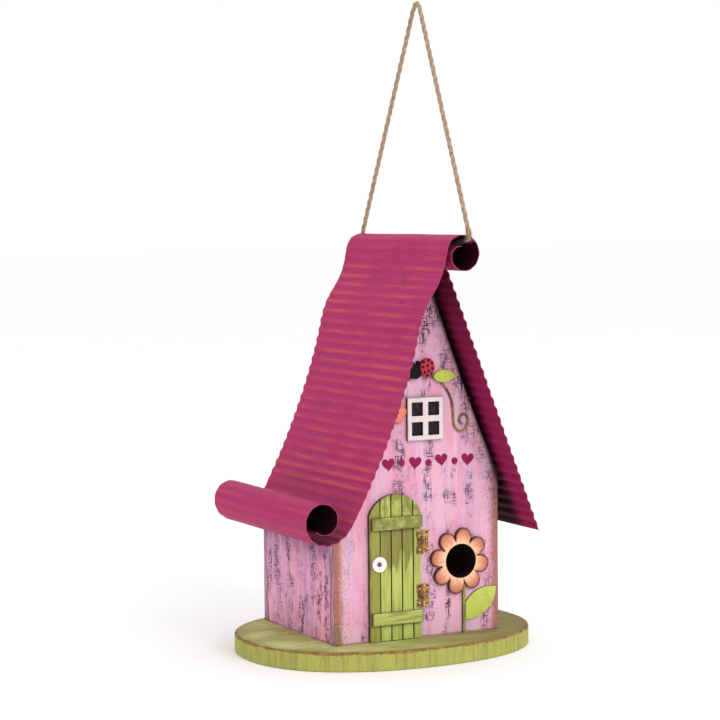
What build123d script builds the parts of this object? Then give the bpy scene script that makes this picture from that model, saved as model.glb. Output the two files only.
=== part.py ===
from build123d import *
import os
from math import atan2, cos, degrees, hypot, pi, radians, sin

# A garden birdhouse: a gabled wooden box on an oval base, under a roof of two sheets of painted metal whose
# ends are rolled into scrolls, with a hinged plank door, cut-out wood trim and a hanging rope.
# Millimetres. The origin is the centre of the base board's underside, +Z is up and the front faces -Y.

# ---- base board -------------------------------------------------------------------------------------------
base_length = 241.3
base_depth = 192.4
base_thickness = 14.4
base_squareness = 2.25          # exponent of the oval: 2 is an ellipse, more is squarer
base_outline_points = 48
base_edge_round = 1.5

# ---- house box --------------------------------------------------------------------------------------------
house_x = 3.3                   # the box stands a little right of the middle and towards the back
house_y = 10.5
house_width = 146.7
house_depth = 128.8
panel = 8.5                     # thickness of the front and back panels and of the side walls
gable_top_z = 290.0
roof_seat = 1.3                 # from the middle of a roof sheet to the wood under it
right_gable_bow = 2.0           # how far the right gable edge is hollowed

# ---- roof -------------------------------------------------------------------------------------------------
sheet = 0.8
left_front_overhang = 38.6      # beyond the front wall
right_front_overhang = 32.6
back_overhang = 1.6
# middle line of the left sheet from the eave up to the ridge, as (x, z)
left_slope = [(-70.6, 118.5), (-52.6, 153.3), (-38.3, 185.5), (-26.8, 216.1), (-17.1, 248.8), (-8.6, 276.3),
              (2.0, 293.5), (7.4, 306.5)]
ridge_scroll = (23.9, 316.5)    # centre (x, z)
ridge_scroll_start = 180.0      # degrees, where the sheet joins the roll; it then turns clockwise
ridge_scroll_step = -44.0
ridge_scroll_radii = [14.3, 14.2, 14.1, 14.2, 14.4, 14.1, 13.4, 12.0, 9.9, 7.6, 5.7]
eave_scroll = (-98.0, 118.0)
eave_scroll_start = -28.0
eave_scroll_step = -46.2
eave_scroll_radii = [22.6, 18.8, 16.6, 14.8, 14.0, 13.7, 13.2, 12.4, 11.4, 10.3, 9.5]
right_sheet_top = (12.9, 305.3)
right_sheet_eave = (94.9, 96.8)
sheet_arcs = 44                 # arcs that each face of the left sheet is bent from

# ---- roof nails, as shares of each slope's length ---------------------------------------------------------
roof_nail_d = 1.4
roof_nail_head_d = 2.0
roof_nail_head_t = 0.5
roof_nail_length = 14.0
left_nail_shares = [0.04, 0.93]
right_nail_shares = [0.12, 0.50, 0.76]

# ---- brads and screws that hold the box -------------------------------------------------------------------
brad_d = 1.6
brad_length = 24.0
brad_shares = [0.14, 0.47, 0.79]    # of the lower side wall's height
screw_d = 3.2
screw_length = 28.0
screw_head_d = 7.0
screw_head_t = 3.0
screw_inset_x = 30.0            # from the box's side faces in to the screws

# ---- entrance hole and flower -----------------------------------------------------------------------------
hole_x = 40.8
hole_z = 72.4
hole_d = 26.8
flower_shift = (-0.7, 0.0)      # the flower sits a little off the hole's centre
flower_t = 3.0
flower_ring = 3.1               # of wood around the hole
petal_count = 8
petal_phase = 80.0              # degrees of the first petal
petal_neck = 3.0                # from the ring's edge to the middle of a petal's round end
petal_r = 7.0
stem_x = 44.25
stem_width = 2.6
stem_top_z = 56.0
leaf_t = 2.0
leaf_points = [(45.5, 24.6), (45.5, 38.6), (53.9, 46.6), (73.6, 49.4), (67.6, 33.3), (58.6, 26.9)]

# ---- door -------------------------------------------------------------------------------------------------
door_left = -40.9
door_right = 4.5
door_clearance = 0.5            # above the base board
door_spring_z = 114.3           # where the round top starts
door_top_z = 129.7
door_gap = 0.4                  # between the planks and the wall
plank_t = 3.0
plank_pitch = 9.75
plank_gap = 0.9
plank_count = 5
batten_t = 2.3
batten_left = -39.9
batten_right = 5.1
upper_batten_z = (102.4, 112.1)
lower_batten_z = (27.6, 37.5)
doorway_lip = 4.0               # how far the door covers the wall around the doorway
doorway_sill = 6.0

# ---- door knob --------------------------------------------------------------------------------------------
knob_x = -33.1
knob_z = 75.8
knob_d = 12.2
knob_t = 2.4
knob_bore_d = 4.0
knob_pin_d = 2.2
knob_pin_head_t = 1.8
knob_pin_depth = 2.4            # of the shank in the plank

# ---- hinges -----------------------------------------------------------------------------------------------
hinge_x = 6.9                   # pin axis
hinge_heights = {"upper": 90.1, "lower": 47.9}
hinge_height = 18.0
leaf_metal = 0.6
barrel_d = 2.4
hinge_pin_d = 1.2
hinge_running = 0.05            # radial, between the pin and the door leaf's knuckle
knuckle_gap = 0.25
hinge_reach = 6.6               # from the pin axis to each leaf's outer edge
hinge_nail_d = 1.0
hinge_nail_length = 2.8
hinge_nail_head_d = 2.0
hinge_nail_head_t = 0.4
hinge_nail_offset = 5.8         # above and below the hinge's middle
hinge_nail_reach = 4.2          # from the pin axis

# ---- window, vine, ladybird and small flower --------------------------------------------------------------
window_x = 9.7
window_z = 187.2
window_width = 32.2
window_height = 33.9
window_border = 3.9
window_bar = 4.8
window_t = 2.6
window_panel_t = 0.8
wire_d = 1.9
vine_points = [(-16.0, 202.4), (-13.0, 211.6), (-4.5, 218.4), (7.0, 221.5), (18.5, 219.5), (28.5, 212.0),
               (34.6, 201.0), (35.9, 189.0), (36.3, 179.5), (41.2, 174.4), (47.6, 177.2), (49.8, 184.0),
               (46.4, 189.8), (41.4, 187.6), (41.1, 182.2), (44.4, 180.9)]
vine_bends = [5.0, 7.0, 12.0, 14.0, 14.0, 14.0, 14.0, 5.5, 4.5, 4.5, 4.0, 3.5, 2.6, 2.6]
vine_leaf_points = [(16.7, 219.9), (22.0, 224.3), (30.5, 224.3), (37.4, 219.4), (29.5, 215.4), (21.5, 215.8)]
vine_leaf_t = 1.6
ladybird_x = 11.2
ladybird_z = 227.3
ladybird_width = 13.0
ladybird_height = 14.8
ladybird_t = 3.2
ladybird_head_x = 0.6
ladybird_head_z = 223.9
ladybird_head_r = 5.2
ladybird_head_t = 2.6
antenna_width = 2.2
antenna_tips = [(-1.8, 231.6), (3.8, 232.6)]
small_flower_x = -16.7
small_flower_z = 193.6
small_petal_count = 6
small_petal_reach = 6.0
small_petal_r = 3.9
small_disc_r = 5.0
small_flower_t = 3.0
small_centre_r = 2.6
small_centre_t = 1.6

# ---- hanging rope -----------------------------------------------------------------------------------------
rope_d = 3.5
rope_front_exit = (28.0, -93.7, 334.5)
rope_apex = (27.3, -16.0, 513.4)
rope_back_exit = (26.6, 77.7, 334.5)
rope_apex_run = 6.4             # between the two turns over the hook
rope_rim_run = 4.3              # from an exit down to the turn beside the scroll's rim
rope_tuck = 1.3                 # how far the rope turns back under the rim
rope_inside_z = 325.6
rope_rim_radii = [5.4, 3.1]
knot_d = 7.0
knot_length = 12.0
knot_y = -14.0
knot_z = 322.4

# ---- derived places ---------------------------------------------------------------------------------------
base_top = base_thickness
front_y = house_y - house_depth / 2
back_y = house_y + house_depth / 2
left_sheet_front_y = front_y - left_front_overhang
right_sheet_front_y = front_y - right_front_overhang
roof_back_y = back_y + back_overhang
wall_left_x = house_x - house_width / 2
wall_right_x = house_x + house_width / 2
plank_back_y = front_y - door_gap
plank_front_y = plank_back_y - plank_t
hinge_y = plank_front_y - leaf_metal / 2
wire_y = front_y - wire_d / 2
flower_x = hole_x + flower_shift[0]
flower_z = hole_z + flower_shift[1]
petal_disc_r = hole_d / 2 + flower_ring
petal_reach = petal_disc_r + petal_neck
knot_x = rope_apex[0]


def save(shape, node):
    export_step(shape, f"parts/{node}.step")


def group(solids):
    return Compound(children=list(solids))


def upright(face_2d, y_front, thickness):
    """Stand a flat outline, drawn as (x, z), on a vertical plane and thicken it towards the back."""
    plane = Plane(origin=(0, y_front, 0), x_dir=(1, 0, 0), z_dir=(0, -1, 0))
    return extrude(plane * face_2d, amount=-thickness)


def slab(x_range, y_range, z_range):
    centre = [(low + high) / 2 for low, high in (x_range, y_range, z_range)]
    size = [high - low for low, high in (x_range, y_range, z_range)]
    return Pos(*centre) * Box(*size)


def rod(start, direction, length, diameter):
    """A round bar from start along direction."""
    return Plane(origin=start, z_dir=direction) * extrude(Circle(diameter / 2), amount=length)


def blob(centre_x, centre_z, count, phase, reach, lobe_r, disc_r):
    """Outline of a flower: a disc with round petals about it."""
    outline = Pos(centre_x, centre_z) * Circle(disc_r)
    for k in range(count):
        turn = radians(phase + k * 360 / count)
        tip = (centre_x + reach * cos(turn), centre_z + reach * sin(turn))
        outline += Pos(*tip) * Circle(lobe_r)
    return outline


def curved_outline(points):
    return make_face(Spline(*points, periodic=True))


# ---- roof profiles ----------------------------------------------------------------------------------------
def scroll_points(centre, start, step, radii):
    turns = [radians(start + k * step) for k in range(len(radii))]
    return [(centre[0] + r * cos(a), centre[1] + r * sin(a)) for r, a in zip(radii, turns)]


def left_middle_line():
    """The left sheet's middle line from the inside of the eave scroll to the inside of the ridge scroll."""
    eave = scroll_points(eave_scroll, eave_scroll_start, eave_scroll_step, eave_scroll_radii)
    ridge = scroll_points(ridge_scroll, ridge_scroll_start, ridge_scroll_step, ridge_scroll_radii)
    return Spline(*(eave[::-1] + left_slope + ridge))


def beside(line, share, distance):
    """A point on the left of a line, distance away from it."""
    spot, along = line @ share, line % share
    return (spot.X - along.Y * distance, spot.Y + along.X * distance)


def left_sheet_face(line):
    """The sheet's cut edge: two chains of arcs beside the middle line, closed at both ends."""
    edges = []
    ends = []
    for side in (sheet / 2, -sheet / 2):
        spots = [beside(line, k / (2 * sheet_arcs), side) for k in range(2 * sheet_arcs + 1)]
        edges += [ThreePointArc(*spots[k:k + 3]) for k in range(0, 2 * sheet_arcs, 2)]
        ends.append((spots[0], spots[-1]))
    edges += [Line(upper, lower) for upper, lower in zip(*ends)]
    return make_face(edges)


def share_at_height(line, z, low, high):
    """Where a rising stretch of the line, between two shares, passes a height."""
    for _ in range(40):
        middle = (low + high) / 2
        if (line @ middle).Y < z:
            low = middle
        else:
            high = middle
    return (low + high) / 2


left_line = left_middle_line()
slope_foot = share_at_height(left_line, left_slope[0][1], 0.27, 0.75)
slope_head = share_at_height(left_line, gable_top_z, 0.27, 0.75)

right_dx = right_sheet_eave[0] - right_sheet_top[0]
right_dz = right_sheet_eave[1] - right_sheet_top[1]
right_length = hypot(right_dx, right_dz)
right_along = (right_dx / right_length, right_dz / right_length)
right_out = (-right_along[1], right_along[0])


def right_point(share, outward):
    run = share * right_length
    return (right_sheet_top[0] + right_along[0] * run + right_out[0] * outward,
            right_sheet_top[1] + right_along[1] * run + right_out[1] * outward)


def right_share_at_x(x, outward):
    return (x - right_out[0] * outward - right_sheet_top[0]) / right_dx


def right_share_at_z(z, outward):
    return (z - right_out[1] * outward - right_sheet_top[1]) / right_dz


def house_envelope():
    """The gable shape that the roof leaves for the wooden box, extruded from front to back."""
    steps = 8
    shares = [slope_foot + (slope_head - slope_foot) * k / steps for k in range(steps + 1)]
    left_edge = [beside(left_line, s, -roof_seat) for s in shares]
    foot = (left_edge[0][0] - 20, left_edge[0][1] - 20 * 1.8)
    head_right = right_point(right_share_at_z(gable_top_z - 2, -roof_seat), -roof_seat)
    corner = right_point(right_share_at_x(wall_right_x, -roof_seat), -roof_seat)
    middle = ((head_right[0] + corner[0]) / 2 - right_out[0] * right_gable_bow,
              (head_right[1] + corner[1]) / 2 - right_out[1] * right_gable_bow)
    beyond = (corner[0] + 40, corner[1])
    outline = [Line(foot, left_edge[0]), Spline(*left_edge), Line(left_edge[-1], head_right),
               ThreePointArc(head_right, middle, corner), Line(corner, beyond),
               Polyline(beyond, (beyond[0], base_top), (foot[0], base_top), foot)]
    return upright(make_face(outline), front_y, house_depth)


# ---- nails through the roof -------------------------------------------------------------------------------
def roof_nail_seats():
    """Point and outward direction, in (x, z), of each nail line on the two slopes."""
    seats = []
    for share in left_nail_shares:
        s = slope_foot + (slope_head - slope_foot) * share
        along = left_line % s
        seats.append((beside(left_line, s, sheet / 2), (-along.Y, along.X)))
    for share in right_nail_shares:
        seats.append((right_point(share, sheet / 2), right_out))
    return seats


def roof_nail(seat, out, y):
    direction = (-out[0], 0, -out[1])
    head_start = (seat[0] + out[0] * roof_nail_head_t, y, seat[1] + out[1] * roof_nail_head_t)
    head = rod(head_start, direction, roof_nail_head_t, roof_nail_head_d)
    shank = rod((seat[0], y, seat[1]), direction, roof_nail_length, roof_nail_d)
    return head + shank


def roof_nails():
    rows = (front_y + panel / 2, back_y - panel / 2)
    return [roof_nail(seat, out, y) for seat, out in roof_nail_seats() for y in rows]


# ---- brads through the gable panels, screws up through the base -------------------------------------------
def wood_height(x):
    """Height of the wood that the roof leaves at x, above the base board."""
    column = slab((x - 0.5, x + 0.5), (front_y, back_y), (base_top, gable_top_z)) & house_envelope()
    return column.bounding_box().max.Z - base_top


def wall_brads():
    brads = []
    columns = (wall_left_x + panel / 2, wall_right_x - panel / 2)
    wall_height = min(wood_height(x) for x in columns)
    for x in columns:
        for z in [base_top + share * wall_height for share in brad_shares]:
            brads.append(rod((x, front_y, z), (0, 1, 0), brad_length, brad_d))
            brads.append(rod((x, back_y, z), (0, -1, 0), brad_length, brad_d))
    return brads


def base_screws():
    screws = []
    for x in (wall_left_x + screw_inset_x, wall_right_x - screw_inset_x):
        for y in (front_y + panel / 2, back_y - panel / 2):
            head = Pos(x, y, screw_head_t / 2) * Cone(screw_head_d / 2, screw_d / 2, screw_head_t)
            screws.append(head + rod((x, y, screw_head_t), (0, 0, 1), screw_length - screw_head_t, screw_d))
    return screws


# ---- base -------------------------------------------------------------------------------------------------
def base_board(screws):
    points = []
    for k in range(base_outline_points):
        turn = 2 * pi * k / base_outline_points
        reach_x = abs(cos(turn)) ** (2 / base_squareness) * base_length / 2
        reach_y = abs(sin(turn)) ** (2 / base_squareness) * base_depth / 2
        points.append((reach_x if cos(turn) > 0 else -reach_x, reach_y if sin(turn) > 0 else -reach_y))
    board = extrude(curved_outline(points), amount=base_thickness)
    board = fillet(board.edges().group_by(Axis.Z)[-1], base_edge_round)
    return board - screws


# ---- door outline, shared by the planks and the doorway ---------------------------------------------------
def arch(left, right, bottom, spring, top):
    middle = (left + right) / 2
    return make_face([Polyline((left, spring), (left, bottom), (right, bottom), (right, spring)),
                      ThreePointArc((right, spring), (middle, top), (left, spring))])


def doorway():
    outline = arch(door_left + doorway_lip, door_right - doorway_lip, base_top + doorway_sill, door_spring_z,
                   door_top_z - doorway_lip)
    return upright(outline, front_y - 1, panel + 2)


def door_planks():
    outline = arch(door_left, door_right, base_top + door_clearance, door_spring_z, door_top_z)
    door = upright(outline, plank_front_y, plank_t)
    planks = []
    for k in range(plank_count):
        left = door_left + k * plank_pitch
        right = door_right if k == plank_count - 1 else left + plank_pitch - plank_gap
        strip = slab((left, right), (plank_front_y - 1, plank_back_y + 1), (base_top, door_top_z + 1))
        planks.append((door & strip).solid())
    return planks


def batten(z_range):
    bar = slab((batten_left, batten_right), (plank_front_y - batten_t, plank_front_y), z_range)
    return chamfer(bar.faces().sort_by(Axis.Y)[0].edges(), 0.4)


def door_knob():
    knob = Cylinder(knob_d / 2, knob_t)
    knob = fillet(knob.edges(), knob_t * 0.42) - Cylinder(knob_bore_d / 2, knob_t)
    return Pos(knob_x, plank_front_y - knob_t / 2, knob_z) * Rot(90, 0, 0) * knob


def knob_pin():
    head = rod((knob_x, plank_front_y, knob_z), (0, -1, 0), knob_pin_head_t, knob_bore_d)
    return head + rod((knob_x, plank_front_y, knob_z), (0, 1, 0), knob_pin_depth, knob_pin_d)


# ---- hinges -----------------------------------------------------------------------------------------------
def knuckle_bands(middle_z):
    """Height ranges of the lower wall knuckle, the door knuckle and the upper wall knuckle."""
    third = hinge_height / 3
    low = middle_z - hinge_height / 2
    return [(low, low + third - knuckle_gap / 2),
            (low + third + knuckle_gap / 2, low + 2 * third - knuckle_gap / 2),
            (low + 2 * third + knuckle_gap / 2, low + hinge_height)]


def knuckle(z_range, bore_d):
    length = z_range[1] - z_range[0]
    tube = rod((hinge_x, hinge_y, z_range[0]), (0, 0, 1), length, barrel_d)
    return tube - rod((hinge_x, hinge_y, z_range[0]), (0, 0, 1), length, bore_d)


def full_height(middle_z):
    return (middle_z - hinge_height / 2, middle_z + hinge_height / 2)


def hinge_wall_leaf(middle_z):
    """A plate on the wall, joined to its two knuckles by webs that step out from the wall."""
    low, _, high = knuckle_bands(middle_z)
    web_left = hinge_x - leaf_metal / 2
    plate_left = hinge_x + barrel_d / 2 + 0.3
    leaf = slab((plate_left, hinge_x + hinge_reach), (front_y - leaf_metal, front_y), full_height(middle_z))
    for band in (low, high):
        leaf += slab((web_left, web_left + leaf_metal), (hinge_y, front_y), band)
        leaf += slab((web_left, plate_left + 1), (front_y - leaf_metal, front_y), band)
        leaf -= rod((hinge_x, hinge_y, band[0]), (0, 0, 1), band[1] - band[0], hinge_pin_d)
        leaf += knuckle(band, hinge_pin_d)
    return leaf


def hinge_door_leaf(middle_z):
    band = knuckle_bands(middle_z)[1]
    bore_d = hinge_pin_d + 2 * hinge_running
    plate_right = hinge_x - barrel_d / 2 - 0.3
    y_range = (plank_front_y - leaf_metal, plank_front_y)
    leaf = slab((hinge_x - hinge_reach, plate_right), y_range, full_height(middle_z))
    leaf += slab((plate_right - 1, hinge_x), y_range, band)
    leaf -= rod((hinge_x, hinge_y, band[0]), (0, 0, 1), band[1] - band[0], bore_d)
    return leaf + knuckle(band, bore_d)


def hinge_pin(middle_z):
    return rod((hinge_x, hinge_y, middle_z - hinge_height / 2), (0, 0, 1), hinge_height, hinge_pin_d)


def hinge_nails(x, leaf_front_y):
    nails = []
    for middle_z in hinge_heights.values():
        for z in (middle_z - hinge_nail_offset, middle_z + hinge_nail_offset):
            head = rod((x, leaf_front_y, z), (0, -1, 0), hinge_nail_head_t, hinge_nail_head_d)
            nails.append(head + rod((x, leaf_front_y, z), (0, 1, 0), hinge_nail_length, hinge_nail_d))
    return nails


# ---- cut-out trim on the front ----------------------------------------------------------------------------
def flower_petals():
    outline = blob(flower_x, flower_z, petal_count, petal_phase, petal_reach, petal_r, petal_disc_r)
    flower = upright(outline, front_y - flower_t, flower_t)
    return flower - rod((hole_x, front_y - flower_t - 1, hole_z), (0, 1, 0), flower_t + 2, hole_d)


def flower_stem(flower):
    x_range = (stem_x - stem_width / 2, stem_x + stem_width / 2)
    return slab(x_range, (front_y - leaf_t, front_y), (base_top, stem_top_z)) - flower


def flower_leaf(flower, stem):
    outline = make_face([Line(leaf_points[0], leaf_points[1]),
                         Spline(*leaf_points[1:4]), Spline(*leaf_points[3:], leaf_points[0])])
    return upright(outline, front_y - leaf_t, leaf_t) - flower - stem


def window_frame():
    pane_width = (window_width - 2 * window_border - window_bar) / 2
    pane_height = (window_height - 2 * window_border - window_bar) / 2
    outline = Pos(window_x, window_z) * Rectangle(window_width, window_height)
    for side in (-1, 1):
        for row in (-1, 1):
            spot = (window_x + side * (pane_width + window_bar) / 2,
                    window_z + row * (pane_height + window_bar) / 2)
            outline -= Pos(*spot) * Rectangle(pane_width, pane_height)
    return upright(outline, front_y - window_panel_t - window_t, window_t)


def window_panel():
    outline = Pos(window_x, window_z) * Rectangle(window_width - 2, window_height - 2)
    return upright(outline, front_y - window_panel_t, window_panel_t)


def vine_wire():
    points = [(x, wire_y, z) for x, z in vine_points]
    path = FilletPolyline(*points, radius=vine_bends)
    return sweep(Plane(path @ 0, z_dir=path % 0) * Circle(wire_d / 2), path)


def vine_leaf():
    left, top_a, top_b, right, low_a, low_b = vine_leaf_points
    outline = make_face([Spline(left, top_a, top_b, right), Spline(right, low_a, low_b, left)])
    return upright(outline, front_y - wire_d - vine_leaf_t, vine_leaf_t)


def ladybird_body():
    outline = Pos(ladybird_x, ladybird_z) * Ellipse(ladybird_width / 2, ladybird_height / 2)
    body = upright(outline, front_y - wire_d - ladybird_t, ladybird_t)
    return fillet(body.faces().sort_by(Axis.Y)[0].edges(), ladybird_t * 0.45)


def ladybird_head(body):
    outline = Pos(ladybird_head_x, ladybird_head_z) * Circle(ladybird_head_r)
    for tip in antenna_tips:
        reach = (tip[0] - ladybird_head_x, tip[1] - ladybird_head_z)
        bar = Rectangle(hypot(*reach), antenna_width)
        middle = (ladybird_head_x + reach[0] / 2, ladybird_head_z + reach[1] / 2)
        outline += Pos(*middle) * Rot(0, 0, degrees(atan2(reach[1], reach[0]))) * bar
    return upright(outline, front_y - wire_d - ladybird_head_t, ladybird_head_t) - body


def small_flower():
    outline = blob(small_flower_x, small_flower_z, small_petal_count, 0, small_petal_reach, small_petal_r,
                   small_disc_r)
    return upright(outline, front_y - small_flower_t, small_flower_t)


def small_flower_centre():
    button = upright(Pos(small_flower_x, small_flower_z) * Circle(small_centre_r),
                     front_y - small_flower_t - small_centre_t, small_centre_t)
    return fillet(button.faces().sort_by(Axis.Y)[0].edges(), small_centre_t * 0.6)


# ---- rope -------------------------------------------------------------------------------------------------
def tube(points, radii):
    path = FilletPolyline(*points, radius=radii)
    return sweep(Plane(path @ 0, z_dir=path % 0) * Circle(rope_d / 2), path), path


def free_rope_points():
    x, y, z = rope_apex
    return [rope_front_exit, (x, y - rope_apex_run / 2, z), (x, y + rope_apex_run / 2, z), rope_back_exit]


def free_rope():
    points = [Vector(*p) for p in free_rope_points()]
    turns = [(b - a).get_angle(c - b) for a, b, c in zip(points, points[1:], points[2:])]
    radii = [0.45 * rope_apex_run / (sin(radians(t) / 2) / cos(radians(t) / 2)) for t in turns]
    print("rope turns", [round(t, 1) for t in turns], "radii", [round(r, 2) for r in radii])
    solid, path = tube(points, radii)
    section = pi * rope_d ** 2 / 4
    print(f"free rope {path.length:.1f} mm, volume {solid.volume:.0f}, section times length "
          f"{section * path.length:.0f}")
    return solid


def rope_in_scroll():
    """The rope's two stretches from the exits, round the scroll's rims and along inside it to the knot."""
    points = [Vector(*p) for p in free_rope_points()]
    stretches = []
    for leaving, onward, inward in ((points[0], points[1], 1), (points[-1], points[-2], -1)):
        rim = leaving - (onward - leaving).normalized() * rope_rim_run
        tuck = Vector(rim.X, rim.Y + inward * rope_tuck, rope_inside_z)
        knot_end = Vector(knot_x, knot_y - inward * knot_length / 2, knot_z)
        level = knot_end - Vector(0, inward * knot_length, 0)
        stretches.append(tube([leaving, rim, tuck, level, knot_end], rope_rim_radii + [40.0])[0])
    return stretches


def rope_knot():
    knot = rod((knot_x, knot_y - knot_length / 2, knot_z), (0, 1, 0), knot_length, knot_d)
    return fillet(knot.edges(), 1.6)


# ---- build ------------------------------------------------------------------------------------------------
def main():
    os.makedirs("parts", exist_ok=True)

    envelope = house_envelope()
    nails = group(roof_nails())
    brads = group(wall_brads())
    screws = group(base_screws())
    wall_hinge_nails = group(hinge_nails(hinge_x + hinge_nail_reach, front_y - leaf_metal))
    door_hinge_nails = group(hinge_nails(hinge_x - hinge_nail_reach, plank_front_y - leaf_metal))
    entrance = rod((hole_x, front_y - 1, hole_z), (0, 1, 0), panel + 2, hole_d)

    save(base_board(screws), "base_board")
    full = (base_top, gable_top_z + 20)
    front_wall = envelope & slab((wall_left_x, wall_right_x), (front_y, front_y + panel), full)
    save(front_wall - entrance - doorway() - nails - brads - screws - wall_hinge_nails, "front_wall")
    back_wall = envelope & slab((wall_left_x, wall_right_x), (back_y - panel, back_y), full)
    save(back_wall - nails - brads - screws, "back_wall")
    inner = (front_y + panel, back_y - panel)
    save((envelope & slab((wall_left_x, wall_left_x + panel), inner, full)) - nails - brads, "left_wall")
    save((envelope & slab((wall_right_x - panel, wall_right_x), inner, full)) - nails - brads, "right_wall")
    save(screws, "base_screws")
    save(brads, "wall_brads")

    left_sheet = upright(left_sheet_face(left_line), left_sheet_front_y, roof_back_y - left_sheet_front_y)
    save(left_sheet - nails, "left_roof_sheet")
    corners = [right_point(0, -sheet / 2), right_point(1, -sheet / 2), right_point(1, sheet / 2),
               right_point(0, sheet / 2)]
    right_sheet = upright(make_face(Polyline(*corners, close=True)), right_sheet_front_y,
                          roof_back_y - right_sheet_front_y)
    save(right_sheet - nails, "right_roof_sheet")
    save(nails, "roof_nails")

    pin = knob_pin()
    for number, plank in enumerate(door_planks(), start=1):
        save(plank - door_hinge_nails - pin, f"door_plank_{number}")
    save(batten(upper_batten_z), "door_upper_batten")
    save(batten(lower_batten_z), "door_lower_batten")
    save(door_knob(), "door_knob")
    save(pin, "door_knob_pin")
    for name, middle_z in hinge_heights.items():
        save(hinge_wall_leaf(middle_z) - wall_hinge_nails, f"{name}_hinge_wall_leaf")
        save(hinge_door_leaf(middle_z) - door_hinge_nails, f"{name}_hinge_door_leaf")
        save(hinge_pin(middle_z), f"{name}_hinge_pin")
    save(wall_hinge_nails, "hinge_wall_nails")
    save(door_hinge_nails, "hinge_door_nails")

    flower = flower_petals()
    stem = flower_stem(flower)
    save(flower, "flower_petals")
    save(stem, "flower_stem")
    save(flower_leaf(flower, stem), "flower_leaf")
    save(window_frame(), "window_frame")
    save(window_panel(), "window_panel")
    save(vine_wire(), "vine_wire")
    save(vine_leaf(), "vine_leaf")
    body = ladybird_body()
    save(body, "ladybird_body")
    save(ladybird_head(body), "ladybird_head")
    save(small_flower(), "small_flower")
    save(small_flower_centre(), "small_flower_centre")

    save(free_rope(), "hanger_rope")
    save(group(rope_in_scroll()), "rope_in_scroll")
    save(rope_knot(), "rope_knot")


main()
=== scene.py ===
# %% [markdown]
# # A garden birdhouse, finished around its solid model
# The solid model says where every board, leaf and nail is. This lesson gives each of them the shape and the
# finish of the real thing: hand-painted wood, a roof of corrugated steel, brass hinges and a jute rope.
# Everything is in metres, in the solid model's own frame: the origin is under the middle of the base board,
# up is +Z and the front faces -Y.

import random
from contextlib import contextmanager
from math import atan2, cos, pi, radians, sin

import bmesh
import bpy
import numpy as np
from mathutils import Matrix, Vector, noise


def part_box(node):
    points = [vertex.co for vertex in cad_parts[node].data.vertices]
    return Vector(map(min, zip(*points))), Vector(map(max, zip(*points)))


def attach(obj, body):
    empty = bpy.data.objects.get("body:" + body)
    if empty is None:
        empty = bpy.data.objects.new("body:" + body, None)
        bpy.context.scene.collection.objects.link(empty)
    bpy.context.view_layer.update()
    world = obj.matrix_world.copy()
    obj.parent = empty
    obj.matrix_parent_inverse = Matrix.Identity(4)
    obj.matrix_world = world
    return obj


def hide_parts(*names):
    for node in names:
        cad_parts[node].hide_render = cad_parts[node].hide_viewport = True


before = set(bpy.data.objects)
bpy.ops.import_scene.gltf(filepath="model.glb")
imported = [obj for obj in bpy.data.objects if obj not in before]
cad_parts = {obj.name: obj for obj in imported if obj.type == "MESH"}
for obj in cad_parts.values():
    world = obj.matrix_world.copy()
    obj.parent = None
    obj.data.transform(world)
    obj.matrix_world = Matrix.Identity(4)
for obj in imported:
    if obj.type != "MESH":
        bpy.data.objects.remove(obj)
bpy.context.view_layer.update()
MM = 0.001


def at(*millimetres):
    """A point or a size given in millimetres, as metres."""
    return Vector(millimetres) * MM


# %% [markdown]
# ## Camera, floor and light
# The object is seen from a little left of its front and from just above, with a long lens, so that its
# upright lines stay nearly parallel. The camera's axes are built from three angles: how far round it
# stands, how far above, and a slight tilt of the horizon. The floor and the sky are white and large, as on
# a photographer's paper roll, so every side gets soft light, and one large lamp near the front gives the
# shapes a light side.

# %% Camera
round_by, above_by, tilt_by = radians(-27.337), radians(3.97), radians(-0.567)
backward = Vector((sin(round_by) * cos(above_by), -cos(round_by) * cos(above_by), sin(above_by)))
level_right = Vector((cos(round_by), sin(round_by), 0))
level_up = backward.cross(level_right)
right_hand = level_right * cos(tilt_by) + level_up * sin(tilt_by)
upward = backward.cross(right_hand)

lens = bpy.data.cameras.new("long_lens")
lens.lens = 108.74
lens.sensor_width = 36.0
lens.clip_end = 20.0
camera = bpy.data.objects.new("camera", lens)
bpy.context.scene.collection.objects.link(camera)
placing = Matrix((right_hand, upward, backward)).transposed().to_4x4()
placing.translation = at(-813.1, -1538.0, 351.21)
camera.matrix_world = placing
bpy.context.scene.camera = camera
bpy.context.scene.view_settings.view_transform = "Standard"
print("camera at", [round(c, 3) for c in placing.translation])

# %% Floor, sky and lamp
bpy.ops.object.select_all(action="DESELECT")
bpy.ops.mesh.primitive_plane_add(size=30, location=(0, 0, -0.0005))
floor = bpy.context.active_object
floor.name = "paper_floor"
bpy.ops.object.transform_apply(location=True)

sky = bpy.data.worlds.new("white_room")
sky.use_nodes = True
sky.node_tree.nodes["Background"].inputs["Color"].default_value = (1, 1, 1, 1)
sky.node_tree.nodes["Background"].inputs["Strength"].default_value = 1.0
bpy.context.scene.world = sky


def soft_lamp(name, place, aim, size, power):
    """A square lamp that faces the point it is aimed at."""
    light = bpy.data.lights.new(name, "AREA")
    light.size = size
    light.energy = power
    lamp = bpy.data.objects.new(name, light)
    bpy.context.scene.collection.objects.link(lamp)
    lamp.location = place
    lamp.rotation_euler = (Vector(aim) - Vector(place)).to_track_quat("-Z", "Y").to_euler()


soft_lamp("key_lamp", (0.25, -1.9, 1.25), (0, 0, 0.15), 1.1, 17)
print("floor, sky and one lamp")

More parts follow.
